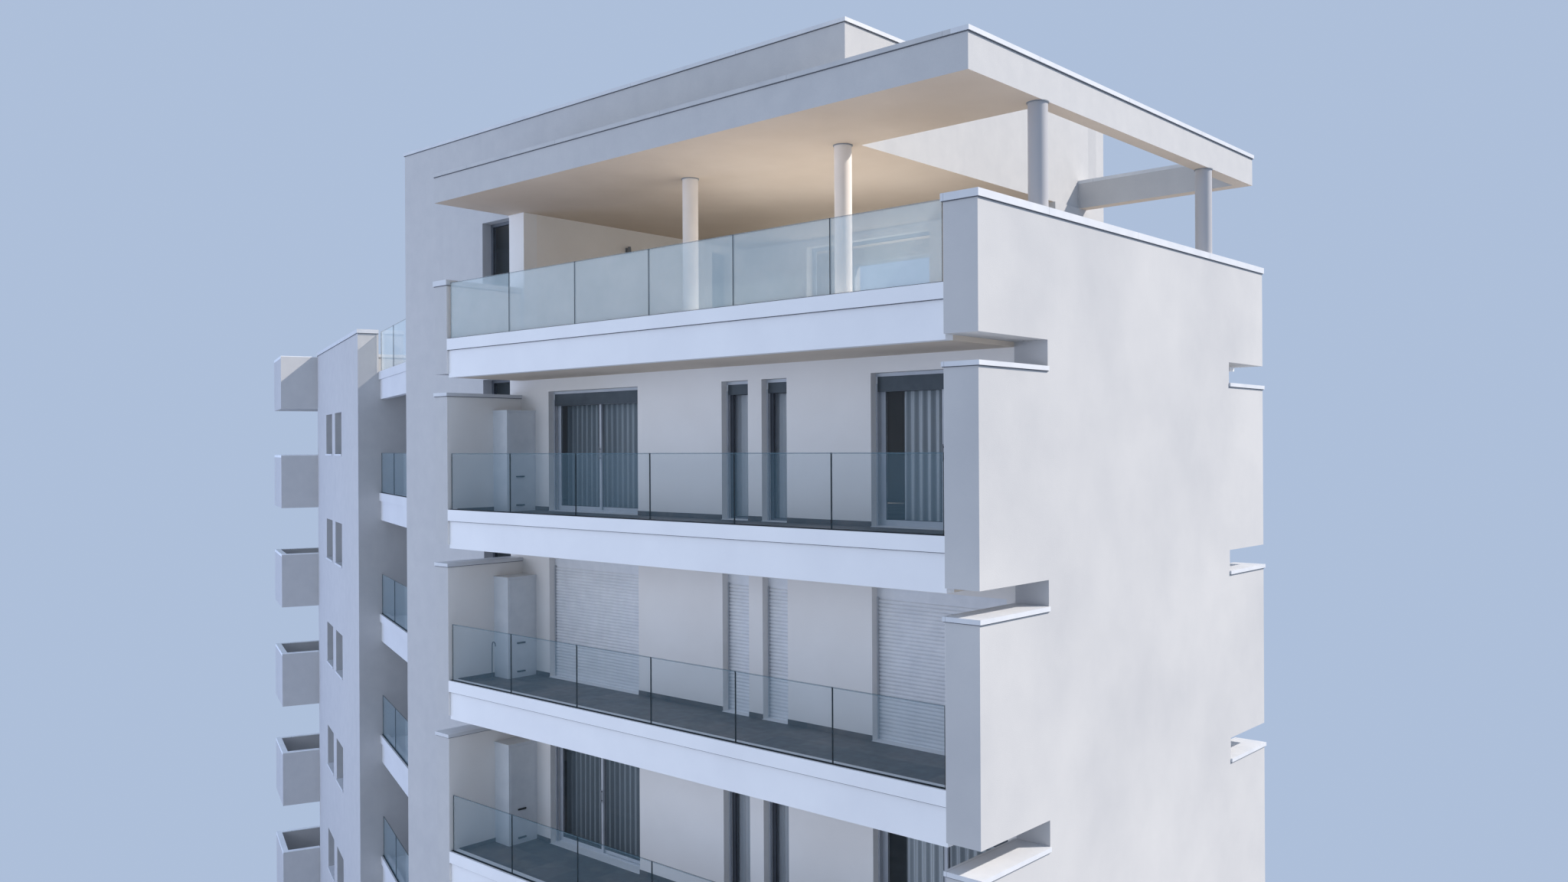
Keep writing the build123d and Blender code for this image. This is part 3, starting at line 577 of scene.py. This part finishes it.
def makeShutters():
    tree = slatTree(finishes["shutter_paint"])
    low, high = floorOf(block["loweredLevel"]), headOf(block["loweredLevel"])
    start = low + shutter["barHeight"]
    face = block["wallY"] + shutter["setback"]
    values = {key: shutter[key] for key in ("pitch", "gap", "thickness", "bulge")}
    values.update({"face": face, "bottom": start + shutter["pitch"] / 2})
    values["count"] = int((high - start) / shutter["pitch"])
    barY = [face + part for part in shutter["barFaces"]]
    hookY = [face + part for part in shutter["hookFaces"]]
    whole = bmesh.new()
    for x0, x1 in frontOpenings:
        left, right = x0 + shutter["play"], x1 - shutter["play"]
        values.update({"width": right - left, "middle": (x0 + x1) / 2})
        whole.from_mesh(meshOfTree(tree, values))
        boxInto(whole, (left, barY[0], low + fit), (right, barY[1], start), 0.003)  # bottom bar
        boxInto(whole, (left, hookY[0], start), (right, hookY[1], high))  # hooked edges behind the slats
    slats = addPiece("shutter_slats", whole, "shutter_paint")
    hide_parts("roller_shutters")


def makeGuides():
    # channels that hold the slats, up both sides of every door and slit
    whole = bmesh.new()
    g, t = shutter["guide"], shutter["guideSheet"]
    y0 = block["wallY"] + shutter["setback"] - shutter["guideAhead"]
    y1 = y0 + shutter["guideDepth"]
    for level in range(block["storeys"]):
        for x0, x1 in frontOpenings:
            for edge, side in ((x0, 1), (x1, -1)):
                inner, lip = edge + side * t, edge + side * g
                outline = [(edge, y0), (lip, y0), (lip, y0 + t), (inner, y0 + t)]
                outline += [(inner, y1 - t), (lip, y1 - t), (lip, y1), (edge, y1)]
                profileInto(whole, outline, floorOf(level) + fit, headOf(level) - fit, 2)
    addPiece("shutter_guides", whole, "light_frames")


sill = {"height": 0.03, "nose": 0.025, "slope": 0.006, "lap": 0.03}


def makeSills():
    # thresholds under the front doors, slits and strip windows, falling outwards; those of the doors
    # and slits are nosed over the paving
    whole = bmesh.new()
    y0, y1 = block["wallY"], block["wallY"] + block["reveal"]
    h, n, s = sill["height"], sill["nose"], sill["slope"]
    for level in range(1, block["storeys"]):
        z = floorOf(level)
        foot = z + block["paving"] + fit / 2
        nosed = [(y1, z), (y1, z + h), (y0 - n, z + h - s), (y0 - n, foot), (y0, foot), (y0, z)]
        for x0, x1 in frontOpenings:
            profileInto(whole, nosed, x0 + fit, x1 - fit, 0)
        x0, x1 = block["strip"]
        profileInto(whole, [(y1, z), (y1, z + h), (y0, z + h - s), (y0, z)], x0 + fit, x1 - fit, 0)
    addPiece("door_thresholds", whole, "smooth_render")


def makeWindowSills():
    # folded sills of the wing's and the rear wall's windows, with a drip nose past the wall's face
    whole = bmesh.new()
    h, n, s, lap = sill["height"], sill["nose"], sill["slope"], sill["lap"]
    walls = [(wing["windows"], wing["step"], 1, wingPlace), (wing["windows"], -wing["depth"], -1, wingPlace)]
    walls.append((block["rearWindows"], block["rearY"], 1, None))
    for spans, face, out, place in walls:
        inner, nose = face - out * (block["reveal"] - fit), face + out * n
        for level in range(block["storeys"]):
            z = level * block["storey"] + block["windowSill"]
            upper = [(inner, z), (inner, z + h), (nose, z + h - s), (nose, z)]
            lower = [(face, z - h), (face, z + fit), (nose, z + fit), (nose, z - h)]
            for u0, u1 in spans:
                profileInto(whole, upper, u0, u1, 0, place)
                profileInto(whole, lower, u0 - lap, u1 + lap, 0, place)
    addPiece("window_sills", whole, "coping_metal")


copingShadow = {"proud": 0.014, "height": 0.01, "start": 0.02}


def copingShadowInto(mesh, x, y, z, sides, place=None):
    # strips of painted shadow under a coping's overhang, on the named sides of the wall below it
    p, h = copingShadow["proud"], copingShadow["height"]
    spans = {
        "front": ((x[0] - p, y[0] - p, z - h), (x[1] + p, y[0] + fit, z)),
        "rear": ((x[0] - p, y[1] - fit, z - h), (x[1] + p, y[1] + p, z)),
        "left": ((x[0] - p, y[0] + fit, z - h), (x[0] + fit, y[1] - fit, z)),
        "right": ((x[1] - fit, y[0] + fit, z - h), (x[1] + p, y[1] - fit, z)),
    }
    for side in sides.split():
        boxInto(mesh, *spans[side], 0.0, place)


def makeCopingShadows():
    # a dark grey strip of painted shadow along the underside of every coping
    b, start = block, copingShadow["start"]
    whole = bmesh.new()
    fin, gable = (b["finX"], b["finInnerX"]), (b["gableInnerX"], b["gableX"])
    front, rear = (b["frontY"], b["wallY"]), (b["bayY"], b["gableRearY"])
    for level in range(1, b["storeys"] + 1):
        z = level * b["storey"] - b["wallTopDrop"]
        copingShadowInto(whole, fin, front, z, "front left right")
        copingShadowInto(whole, gable, front, z, "front left right")
        copingShadowInto(whole, gable, rear, z, "rear left right")
    copingShadowInto(whole, fin, front, b["parapetTop"], "front left right")
    copingShadowInto(whole, gable, (b["frontY"], b["gableRearY"]), b["parapetTop"], "front rear left right")
    sides, roofDepth = "front rear left right", (b["frontY"], b["roofRearY"])
    copingShadowInto(whole, (b["leftX"], b["upperSideX"]), (b["wallY"], b["rearY"]), b["upperTop"], sides)
    copingShadowInto(whole, (b["finX"] + start, b["roofSideX"]), roofDepth, b["roofTop"], "front right")
    copingShadowInto(whole, (b["upperSideX"] + start, b["roofSideX"]), roofDepth, b["roofTop"], "rear")
    span, parapet = (wing["loggiaEnd"], wing["end"] - start), (0.0, wing["step"])
    copingShadowInto(whole, span, parapet, b["parapetTop"], "rear left", wingPlace)
    addPiece("coping_shadow_strips", whole, "light_frames", trim["shadowStrip"])


beamShadowStrip = {"depth": 0.0295, "height": 0.008}


def makeBeamShadows():
    # a narrow dark strip in the joint under the proud band along every balcony beam: painted shadow of the
    # band
    b = block
    whole = bmesh.new()
    face = b["frontY"] + b["bandProud"]
    for level in range(1, b["storeys"] + 1):
        z = level * b["storey"] + b["beamRise"] - b["bandHeight"]
        low = (b["finInnerX"], face - beamShadowStrip["depth"], z - beamShadowStrip["height"])
        boxInto(whole, low, (b["gableInnerX"], face + fit, z + fit / 2))
    addPiece("beam_band_shadow_strips", whole, "light_frames", trim["shadowStrip"])


feather = {"from": 0.55, "to": 0.3, "lift": 0.06}  # from and to are distances before the rear face


def makeFeather():
    # render feathered out over the small step where the rear wall's end stands proud of the upper wall
    b = block
    whole = bmesh.new()
    x0, x1 = b["upperSideX"] - fit, b["towerX"] - fit / 2
    y0, y1 = b["rearY"] - feather["from"], b["rearY"] - feather["to"] + fit
    outline = [(x0, y0), (x0 + fit, y0), (x1, y1), (x0, y1)]
    profileInto(whole, outline, b["roofTop"] + feather["lift"], b["upperTop"] - fit, 2)
    addPiece("render_feather", whole, "white_render")


rail = {
    "face": 0.05,
    "glass": 0.0175,
    "groove": 0.04,
    "sink": 0.03,
    "stand": 0.012,
    "gap": 0.012,
    "ends": 0.05,
    "panels": {"front": 6, "rear": 2, "wing": 3},
}


def railInto(mesh, u0, u1, count, low, z, place=None):
    # gaskets on both sides of the glass's foot, and a thin profile in every joint between two panels
    glass, side = rail["glass"], (rail["groove"] - rail["glass"]) / 2
    top = z + block["beamRise"]
    stand = top + rail["stand"]
    for y0 in (low - side, low + glass):
        start, end = (u0 + fit, y0, top - rail["sink"]), (u1 - fit, y0 + side, stand)
        boxInto(mesh, start, end, 0.002, place)
    start, end = u0 + rail["ends"], u1 - rail["ends"]
    pitch = (end - start + rail["gap"]) / count
    for i in range(1, count):
        u = start + i * pitch - rail["gap"]
        corner = (u - fit / 2, low + 2 * fit, stand)
        far = (u + rail["gap"] + fit / 2, low + glass - 2 * fit, top + block["railHeight"])
        boxInto(mesh, corner, far, 0.0, place)


def makeRailGaskets():
    whole = bmesh.new()
    b, panels = block, rail["panels"]
    inner = rail["face"] + rail["glass"]
    corner = rail["face"] * math.tan(math.radians(180 - wing["turn"]))
    for level in range(1, b["storeys"] + 1):
        z = level * b["storey"]
        front = b["frontY"] + rail["face"]
        railInto(whole, b["finInnerX"], b["gableInnerX"], panels["front"], front, z)
        railInto(whole, b["towerX"], b["gableInnerX"], panels["rear"], b["gableRearY"] - inner, z)
        railInto(whole, corner, wing["loggiaEnd"], panels["wing"], -inner, z, wingPlace)
    addPiece("rail_gaskets", whole, "dark_handles", trim["seal"])


boxCap = {"height": 0.022, "lip": 0.055, "proud": 0.004, "endGap": 0.004}


def makeBoxCaps():
    # folded caps over the open top edges of the box balconies, turned down over their outer faces
    whole = bmesh.new()
    s0, s1 = wing["end"] + fit, wing["end"] + wing["boxLength"] - boxCap["endGap"]
    t, e = wing["boxWall"], boxCap["proud"]
    out0, out1 = wing["boxOut"]
    edges = [(s0, out1 - t - e, s1, out1 + e), (s1 - t - e, out0 + t, s1, out1 - t)]
    edges += [(s0, out0, s1, out0 + t + e), (s0, wing["step"] + fit, s0 + t, out1 - t)]
    for level in range(1, block["storeys"] + 1):
        z = level * block["storey"] + wing["boxRise"]
        for u0, v0, u1, v1 in edges:
            boxInto(whole, (u0, v0, z - fit), (u1, v1, z + boxCap["height"]), 0.003, wingPlace)
        foot, head = z - boxCap["lip"], z + 3 * fit
        boxInto(whole, (s0, out1 - fit, foot), (s1, out1 + e, head), 0.001, wingPlace)
    addPiece("box_balcony_caps", whole, "coping_metal", trim["cap"])


collar = {"reach": 0.018, "height": 0.014, "taper": 0.003, "segments": 40}


def makeCollars():
    # thin plates at the columns' heads, let into the soffit's board; their grey also paints the shade at the
    # column tops
    whole = bmesh.new()
    radius = block["columnRadius"] + collar["reach"]
    for x, y in block["columns"]:
        middle = (x, y, block["soffit"] - collar["height"] / 2 + fit)
        coneInto(whole, middle, (radius - collar["taper"], radius), collar["height"], collar["segments"])
    addPiece("column_collars", whole, "light_frames", trim["fitting"])


pane = {
    "frame": 0.06,
    "leaf": 0.055,
    "depth": 0.07,
    "leafDepth": 0.03,
    "glass": 0.024,
    "seal": 0.007,
    "sealProud": 0.004,
}
slotShadePlate = {"ahead": 0.011, "thickness": 0.006, "railHeight": 0.05, "railDepth": 0.012, "lap": 0.002}


def makeSlotShades():
    # dark plates of painted shade over the shutter boxes and the heads of the frames and leaves,
    # under a pale rail, where no shutter is down
    whole, rails = bmesh.new(), bmesh.new()
    b, p, g = block, slotShadePlate, shutter["guide"]
    face = b["wallY"] + shutter["setback"] - p["ahead"]
    for level in range(b["storeys"]):
        if level == b["loweredLevel"]:
            continue
        top = level * b["storey"] + b["doorHead"] - fit
        edge = top - p["railHeight"]
        for x0, x1 in frontOpenings:
            cover = pane["frame"] + (pane["leaf"] if (x0, x1) in b["doors"] else 0.0) + p["lap"]
            low = headOf(level) - cover
            boxInto(whole, (x0 + g, face - p["thickness"], low), (x1 - g, face + fit, edge), 0.001)
            boxInto(rails, (x0 + fit, face - p["railDepth"], edge), (x1 - fit, face + fit, top), 0.003)
    addPiece("shutter_slot_shade_plates", whole, "dark_frames", trim["plate"])
    addPiece("shutter_box_rails", rails, "light_frames")


def paneSpots():
    # every pane as left, right, outer face, bottom, top, the way it looks, and its place
    b, f, leaf = block, pane["frame"], pane["leaf"]
    fixed = (pane["depth"] - pane["glass"]) / 2
    y = b["wallY"] + b["reveal"]
    near = y + (pane["leafDepth"] - pane["glass"]) / 2
    far = near + pane["depth"] - pane["leafDepth"]
    for level in range(b["storeys"]):
        low, high, base = floorOf(level), headOf(level), level * b["storey"]
        for x0, x1 in b["doors"]:
            middle = (x0 + x1) / 2
            yield x0 + f + leaf, middle - leaf / 2, near, low + f + leaf, high - f - leaf, -1, None
            yield middle + leaf / 2, x1 - f - leaf, far, low + f + leaf, high - f - leaf, -1, None
        for x0, x1 in b["slits"]:
            yield x0 + f, x1 - f, y + fixed, low + f, high - f, -1, None
        top = base + b["doorHead"] - f
        for (x0, x1), face, place in (
            (b["bayDoor"], b["bayY"] - b["reveal"] - fixed, None),
            (wing["loggiaDoor"], -wing["loggiaDepth"] - b["reveal"] - fixed, wingPlace),
        ):
            middle = (x0 + x1) / 2
            yield x0 + f, middle - f / 2, face, low + f, top, 1, place
            yield middle + f / 2, x1 - f, face, low + f, top, 1, place
        z = base + b["windowSill"]
        walls = [(b["rearWindows"], b["rearY"] - b["reveal"] - fixed, 1, None)]
        walls.append((wing["windows"], wing["step"] - b["reveal"] - fixed, 1, wingPlace))
        walls.append((wing["windows"], b["reveal"] - wing["depth"] + fixed, -1, wingPlace))
        for spans, face, way, place in walls:
            for u0, u1 in spans:
                yield u0 + f, u1 - f, face, z + f, z + b["windowHeight"] - f, way, place
    x0, x1 = b["strip"]
    for level in range(b["storeys"] + 1):
        top = level * b["storey"] + b["stripHead"] - f
        yield x0 + f, x1 - f, y + fixed, floorOf(level) + f, top, -1, None
    x0, x1 = b["view"]
    face = b["terraceY"] + b["reveal"] + fixed
    yield x0 + f, x1 - f, face, topFloor + f, topFloor + b["viewHead"] - f, -1, None


def makeSeals():
    # rubber strips round every pane
    whole = bmesh.new()
    w = pane["seal"]
    for x0, x1, face, low, high, way, place in paneSpots():
        y0, y1 = sorted((face, face + way * pane["sealProud"]))
        boxInto(whole, (x0, y0, low), (x0 + w, y1, high), 0.0, place)
        boxInto(whole, (x1 - w, y0, low), (x1, y1, high), 0.0, place)
        boxInto(whole, (x0 + w, y0, low), (x1 - w, y1, low + w), 0.0, place)
        boxInto(whole, (x0 + w, y0, high - w), (x1 - w, y1, high), 0.0, place)
    addPiece("glazing_seals", whole, "dark_handles", trim["seal"])


pull = {
    "rise": 0.95,
    "length": 0.24,
    "width": 0.022,
    "thickness": 0.014,
    "reach": 0.04,
    "posts": (0.03, 0.19),
    "postWidth": 0.016,
    "postHeight": 0.018,
}


def makeDoorPulls():
    # a bar on two posts, on the front leaf of each sliding door
    whole = bmesh.new()
    y = block["wallY"] + block["reveal"]
    bar, half, slim = y - pull["reach"], pull["width"] / 2, pull["postWidth"] / 2
    back = bar + pull["thickness"]
    for level in range(block["storeys"]):
        z = floorOf(level) + pull["rise"]
        for x0, x1 in block["doors"]:
            x = (x0 + x1) / 2
            boxInto(whole, (x - half, bar, z), (x + half, back, z + pull["length"]), 0.004)
            for post in pull["posts"]:
                low, high = z + post, z + post + pull["postHeight"]
                boxInto(whole, (x - slim, back - 2 * fit, low), (x + slim, y + fit / 2, high), 0.002)
    addPiece("door_pulls", whole, "light_frames", trim["fitting"])


skirting = {"height": 0.075, "thickness": 0.011}
cabinet = {
    "x": (-3.55, -3.12),
    "y": (-3.755, -3.125),
    "height": 1.85,
    "rim": 0.035,
    "headRim": 0.06,
    "leaf": 0.006,
    "lid": 0.03,
    "lidProud": 0.014,
}


def makeSkirting():
    # a low strip of the floor's tile along the foot of the balcony walls
    whole = bmesh.new()
    h, t = skirting["height"], skirting["thickness"]
    y, side, end = block["wallY"], block["finInnerX"], block["gableInnerX"]
    inner = block["frontY"] + block["beamDepth"]
    for level in range(1, block["storeys"]):
        z = floorOf(level) + block["paving"]
        x = cabinet["x"][1]
        for x0, x1 in sorted(frontOpenings) + [(end, end)]:
            boxInto(whole, (x, y - t, z), (x0, y + fit / 2, z + h), 0.001)
            x = x1
        boxInto(whole, (side - fit / 2, inner, z), (side + t, cabinet["y"][0], z + h), 0.001)
    addPiece("balcony_skirting", whole, "stoneware_tiles")


curtain = {
    "inset": 0.12,
    "depth": 0.08,
    "lap": 0.06,
    "clearance": 0.0003,
    "pleat": 0.14,
    "swing": 0.045,
    "columnWidth": 0.012,
    "rows": 14,
    "nearOpening": 0.24,  # the near door's cloth stands this far back from its left side
}
slitCurtain = {"x": (1.5, 3.35), "y": -2.79, "swing": 0.02, "leastColumns": 50}


def makeCurtain(name, x0, x1, y, low, high, shift, cloth, swing):
    # cloth gathered on a track, in pleats that drift a little and loosen towards the hem
    columns = max(int((x1 - x0) / curtain["columnWidth"]), slitCurtain["leastColumns"])
    rows = curtain["rows"]
    points, across = [], []
    for r in range(rows + 1):
        t = r / rows
        arc, last = 0.0, None
        for c in range(columns + 1):
            x = x0 + (x1 - x0) * c / columns
            phase = 2 * math.pi * x / curtain["pleat"] + shift
            phase += 0.6 * math.sin(2.3 * x + shift) + 0.3 * math.sin(5.1 * x) * t
            depth = swing * (0.75 + 0.25 * t) * (0.8 + 0.2 * math.sin(1.7 * x + shift))
            point = Vector((x, y + depth * math.sin(phase), high + (low - high) * t))
            arc += (point - last).length if last is not None else 0.0
            last = point
            points.append(point)
            across.append((arc, -t * (high - low)))
    wide = columns + 1
    corners = [r * wide + c for r in range(rows) for c in range(columns)]
    faces = [(a, a + wide, a + wide + 1, a + 1) for a in corners]
    data = bpy.data.meshes.new(name)
    data.from_pydata(points, [], faces)
    layer = data.uv_layers.new(name="weave")
    for loop in data.loops:
        layer.data[loop.index].uv = across[loop.vertex_index]
    piece = addPiece(name, data, "curtain_cloth", cloth, True)
    return piece


def makeCurtains():
    y = block["wallInnerY"] + curtain["inset"] + curtain["depth"] / 2
    cloth, swing = finishes["curtain_cloth"], curtain["swing"]
    for level in block["curtainLevels"]:
        low = floorOf(level) + curtain["lap"]
        high = (level + 1) * block["storey"] - block["floorSlab"] - curtain["clearance"]
        for index, (x0, x1) in enumerate(block["doors"]):
            end = min(x1 + curtain["lap"], block["gableInnerX"] - curtain["lap"])
            name = "curtain_%d_%s" % (level, ("gable", "left")[index])
            start = x0 + curtain["nearOpening"] if index == 0 else x0 - curtain["lap"]
            piece = makeCurtain(name, start, end, y, low, high, 0.7 * level + 1.9 * index, cloth, swing)
            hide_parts("curtains")
        (x0, x1), name = slitCurtain["x"], "curtain_%d_slits" % level
        back, slight = slitCurtain["y"], slitCurtain["swing"]
        makeCurtain(name, x0, x1, back, low, high, 1.3 * level, trim["blind"], slight)


def makeCabinetDoors():
    # a leaf in a narrow frame on the side of each cabinet, under a lid that stands a little proud
    whole = bmesh.new()
    (x0, x1), (y0, y1) = cabinet["x"], cabinet["y"]
    rim, proud = cabinet["rim"], cabinet["lidProud"]
    front = y0 - proud + fit
    for level in range(1, block["storeys"]):
        z = floorOf(level) + block["paving"]
        top = z + cabinet["height"]
        lid, head = top - cabinet["lid"], top - cabinet["headRim"]
        boxInto(whole, (x1 - fit, y0 + rim, z + rim), (x1 + cabinet["leaf"], y1 - rim, head), 0.002)
        boxInto(whole, (x1 - fit, front, lid), (x1 + proud, y1, top), 0.002)
        boxInto(whole, (x0, front, lid), (x1 - fit, y0 + fit, top), 0.002)
    addPiece("cabinet_doors", whole, "cabinet_paint")


pipe = {
    "foot": (-3.28, -3.99),
    "bore": 0.009,
    "route": [(0.0, 0.0), (0.0, 0.3), (0.0, 0.62), (0.012, 0.685), (0.06, 0.7), (0.1, 0.67), (0.105, 0.62)],
    "plateRadii": (0.03, 0.026),
    "plateHeight": 0.012,
    "segments": 20,
}


def makePipe():
    # gooseneck pipe by the cabinet, on the storey with lowered shutters
    x, y = pipe["foot"]
    z = floorOf(block["loweredLevel"]) + block["paving"]
    curve = bpy.data.curves.new("pipe", "CURVE")
    curve.dimensions = "3D"
    curve.bevel_depth = pipe["bore"]
    curve.bevel_resolution = 3
    curve.use_fill_caps = True
    spline = curve.splines.new("NURBS")
    spline.points.add(len(pipe["route"]) - 1)
    for target, (along, rise) in zip(spline.points, pipe["route"]):
        target.co = (x + along, y, z + rise, 1.0)
    spline.order_u = 4
    spline.use_endpoint_u = True
    whole = bmesh.new()
    whole.from_mesh(plainMesh(addItem("pipeLine", curve)))
    thick = pipe["plateHeight"]
    coneInto(whole, (x, y, z + thick / 2), pipe["plateRadii"], thick, pipe["segments"])
    addPiece("gooseneck_pipe", whole, "dark_frames")


lamp = {
    "y": -0.6,
    "rise": 2.13,
    "plate": (0.012, 0.07, 0.1),
    "armEnd": 0.06,
    "arm": 0.02,
    "cupReach": 0.085,
    "cupRadii": (0.045, 0.03),
    "cupHeight": 0.13,
    "segments": 24,
}


def makeLamp():
    # small wall lamp on the penthouse's side wall: back plate, arm and cup
    x, y, z = block["terraceX"], lamp["y"], topFloor + lamp["rise"]
    thick, wide, tall = lamp["plate"]
    half = lamp["arm"] / 2
    whole = bmesh.new()
    boxInto(whole, (x - fit / 2, y - wide / 2, z - tall / 2), (x + thick, y + wide / 2, z + tall / 2), 0.004)
    start = x + thick - 2 * fit
    boxInto(whole, (start, y - half, z - half), (x + lamp["armEnd"], y + half, z + half), 0.003)
    middle = (x + lamp["cupReach"], y, z)
    coneInto(whole, middle, lamp["cupRadii"], lamp["cupHeight"], lamp["segments"])
    addPiece("terrace_lamp", whole, "light_frames", trim["fitting"])


wallUnit = {
    "x": (-2.59, -2.33),
    "rise": 1.78,
    "case": (0.09, 0.05, 0.17),
    "cover": (0.068, 0.008),
    "coverZ": (0.05, 0.155),
}


def makeWallUnits():
    # two small covered units side by side on the penthouse's rear wall
    y, z = block["terraceY"], topFloor + wallUnit["rise"]
    wide, deep, tall = wallUnit["case"]
    (span, proud), (low, high) = wallUnit["cover"], wallUnit["coverZ"]
    face = y - deep
    whole = bmesh.new()
    for x in wallUnit["x"]:
        boxInto(whole, (x - wide / 2, face, z), (x + wide / 2, y + fit / 2, z + tall), 0.006)
        boxInto(whole, (x - span / 2, face - proud, z + low), (x + span / 2, face + fit, z + high), 0.003)
    addPiece("terrace_wall_units", whole, "shutter_paint")


makeShutters()
makeGuides()
makeSills()
makeWindowSills()
makeCopingShadows()
makeBeamShadows()
makeFeather()
makeRailGaskets()
makeBoxCaps()
makeCollars()
makeSlotShades()
makeSeals()
makeDoorPulls()
makeSkirting()
makeCurtains()
makeCabinetDoors()
makePipe()
makeLamp()
makeWallUnits()

studioFloor = {"middle": (-6.0, 0.0, -0.003), "radius": 30.0, "tones": ("#C9CACC", "#C2C3C6")}


def makeFloor():
    sizes = {"vertices": 96, "radius": studioFloor["radius"], "fill_type": "NGON"}
    bpy.ops.mesh.primitive_circle_add(location=studioFloor["middle"], **sizes)
    floor = bpy.context.object
    floor.name = "studio_floor"
    material, tree, place = startFinish("pale_floor", {"Roughness": 0.9})
    pale, dark = studioFloor["tones"]
    floor.data.materials.append(endFinish(material, pale, [(patches(tree, place, 3.0), dark)]))
    floor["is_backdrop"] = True


light = {
    "sunFrom": (0.54, 0.56, 0.63),
    "sun": {"energy": 5.0, "color": (1.0, 0.93, 0.86), "angle": math.radians(1.5)},
    "skyColour": (0.60, 0.745, 1.0),
    "skyPower": 0.7,
    "panels": [  # place, target, width, depth, power, colour; the last three light the terrace's soffit
        ((-18.0, -30.0, 20.0), (-3.0, -3.0, 18.0), 30.0, 18.0, 3000.0, (0.83, 0.87, 1.0)),
        ((-29.0, -17.0, 15.0), (-12.0, -1.0, 13.0), 12.0, 10.0, 1550.0, (0.38, 0.52, 1.0)),
        ((2.8, -1.8, 21.45), (2.8, -1.8, 24.0), 5.0, 3.8, 62.0, (0.96, 0.98, 1.0)),
        ((1.6, -2.6, 21.6), (0.6, 2.9, 21.9), 5.0, 0.8, 12.0, (1.0, 0.99, 0.96)),
        ((0.0, 3.8, 21.5), (0.0, 3.8, 24.0), 3.0, 1.3, 55.0, (1.0, 1.0, 0.94)),
    ],
}


def addLight(name, kind, place, direction, settings):
    data = bpy.data.lights.new(name, kind)
    for key, value in settings.items():
        setattr(data, key, value)
    item = addItem(name, data)
    item.location = place
    item.rotation_euler = direction.to_track_quat("Z", "Y").to_euler()
    return item


def makeLights():
    addLight("sun", "SUN", Vector(), Vector(light["sunFrom"]), light["sun"])
    for place, target, width, depth, power, tint in light["panels"]:
        settings = {"shape": "ELLIPSE", "size": width, "size_y": depth, "energy": power, "color": tint}
        panel = addLight("panel", "AREA", Vector(place), Vector(place) - Vector(target), settings)
        panel.visible_camera = False
        panel.visible_glossy = False
    world = bpy.data.worlds.new("studio")
    world.use_nodes = True
    scene.world = world
    tree = world.node_tree
    tree.nodes.clear()
    inputs = {"Color": (*light["skyColour"], 1.0), "Strength": light["skyPower"]}
    sky = addNode(tree, "ShaderNodeBackground", inputs)
    addNode(tree, "ShaderNodeOutputWorld", {"Surface": sky[0]})
    scene.view_settings.view_transform = "Standard"


view = {
    "place": (15.418, -16.828, 19.44),
    "lens": 27.897,
    "sensor": 36.0,
    "heading": 41.971,
    "roll": -0.3,
    "shift": 0.00483,
    "farthest": 400.0,
}


def makeCamera():
    data = bpy.data.cameras.new("photoView")
    data.lens = view["lens"]
    data.sensor_width = view["sensor"]
    data.shift_y = view["shift"]
    data.clip_end = view["farthest"]
    camera = addItem("photoView", data)
    camera.location = view["place"]
    camera.rotation_mode = "QUATERNION"
    level = Matrix.Rotation(math.radians(view["heading"]), 4, "Z") @ Matrix.Rotation(math.radians(90), 4, "X")
    camera.rotation_quaternion = level.to_quaternion() @ Quaternion((0, 0, 1), math.radians(view["roll"]))
    scene.camera = camera


makeFloor()
makeLights()
makeCamera()
print("floor, lights and camera set")

boxes = {"cad": cadBox, "visual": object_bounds()}
{name: [list(corner) for corner in box] for name, box in boxes.items()}
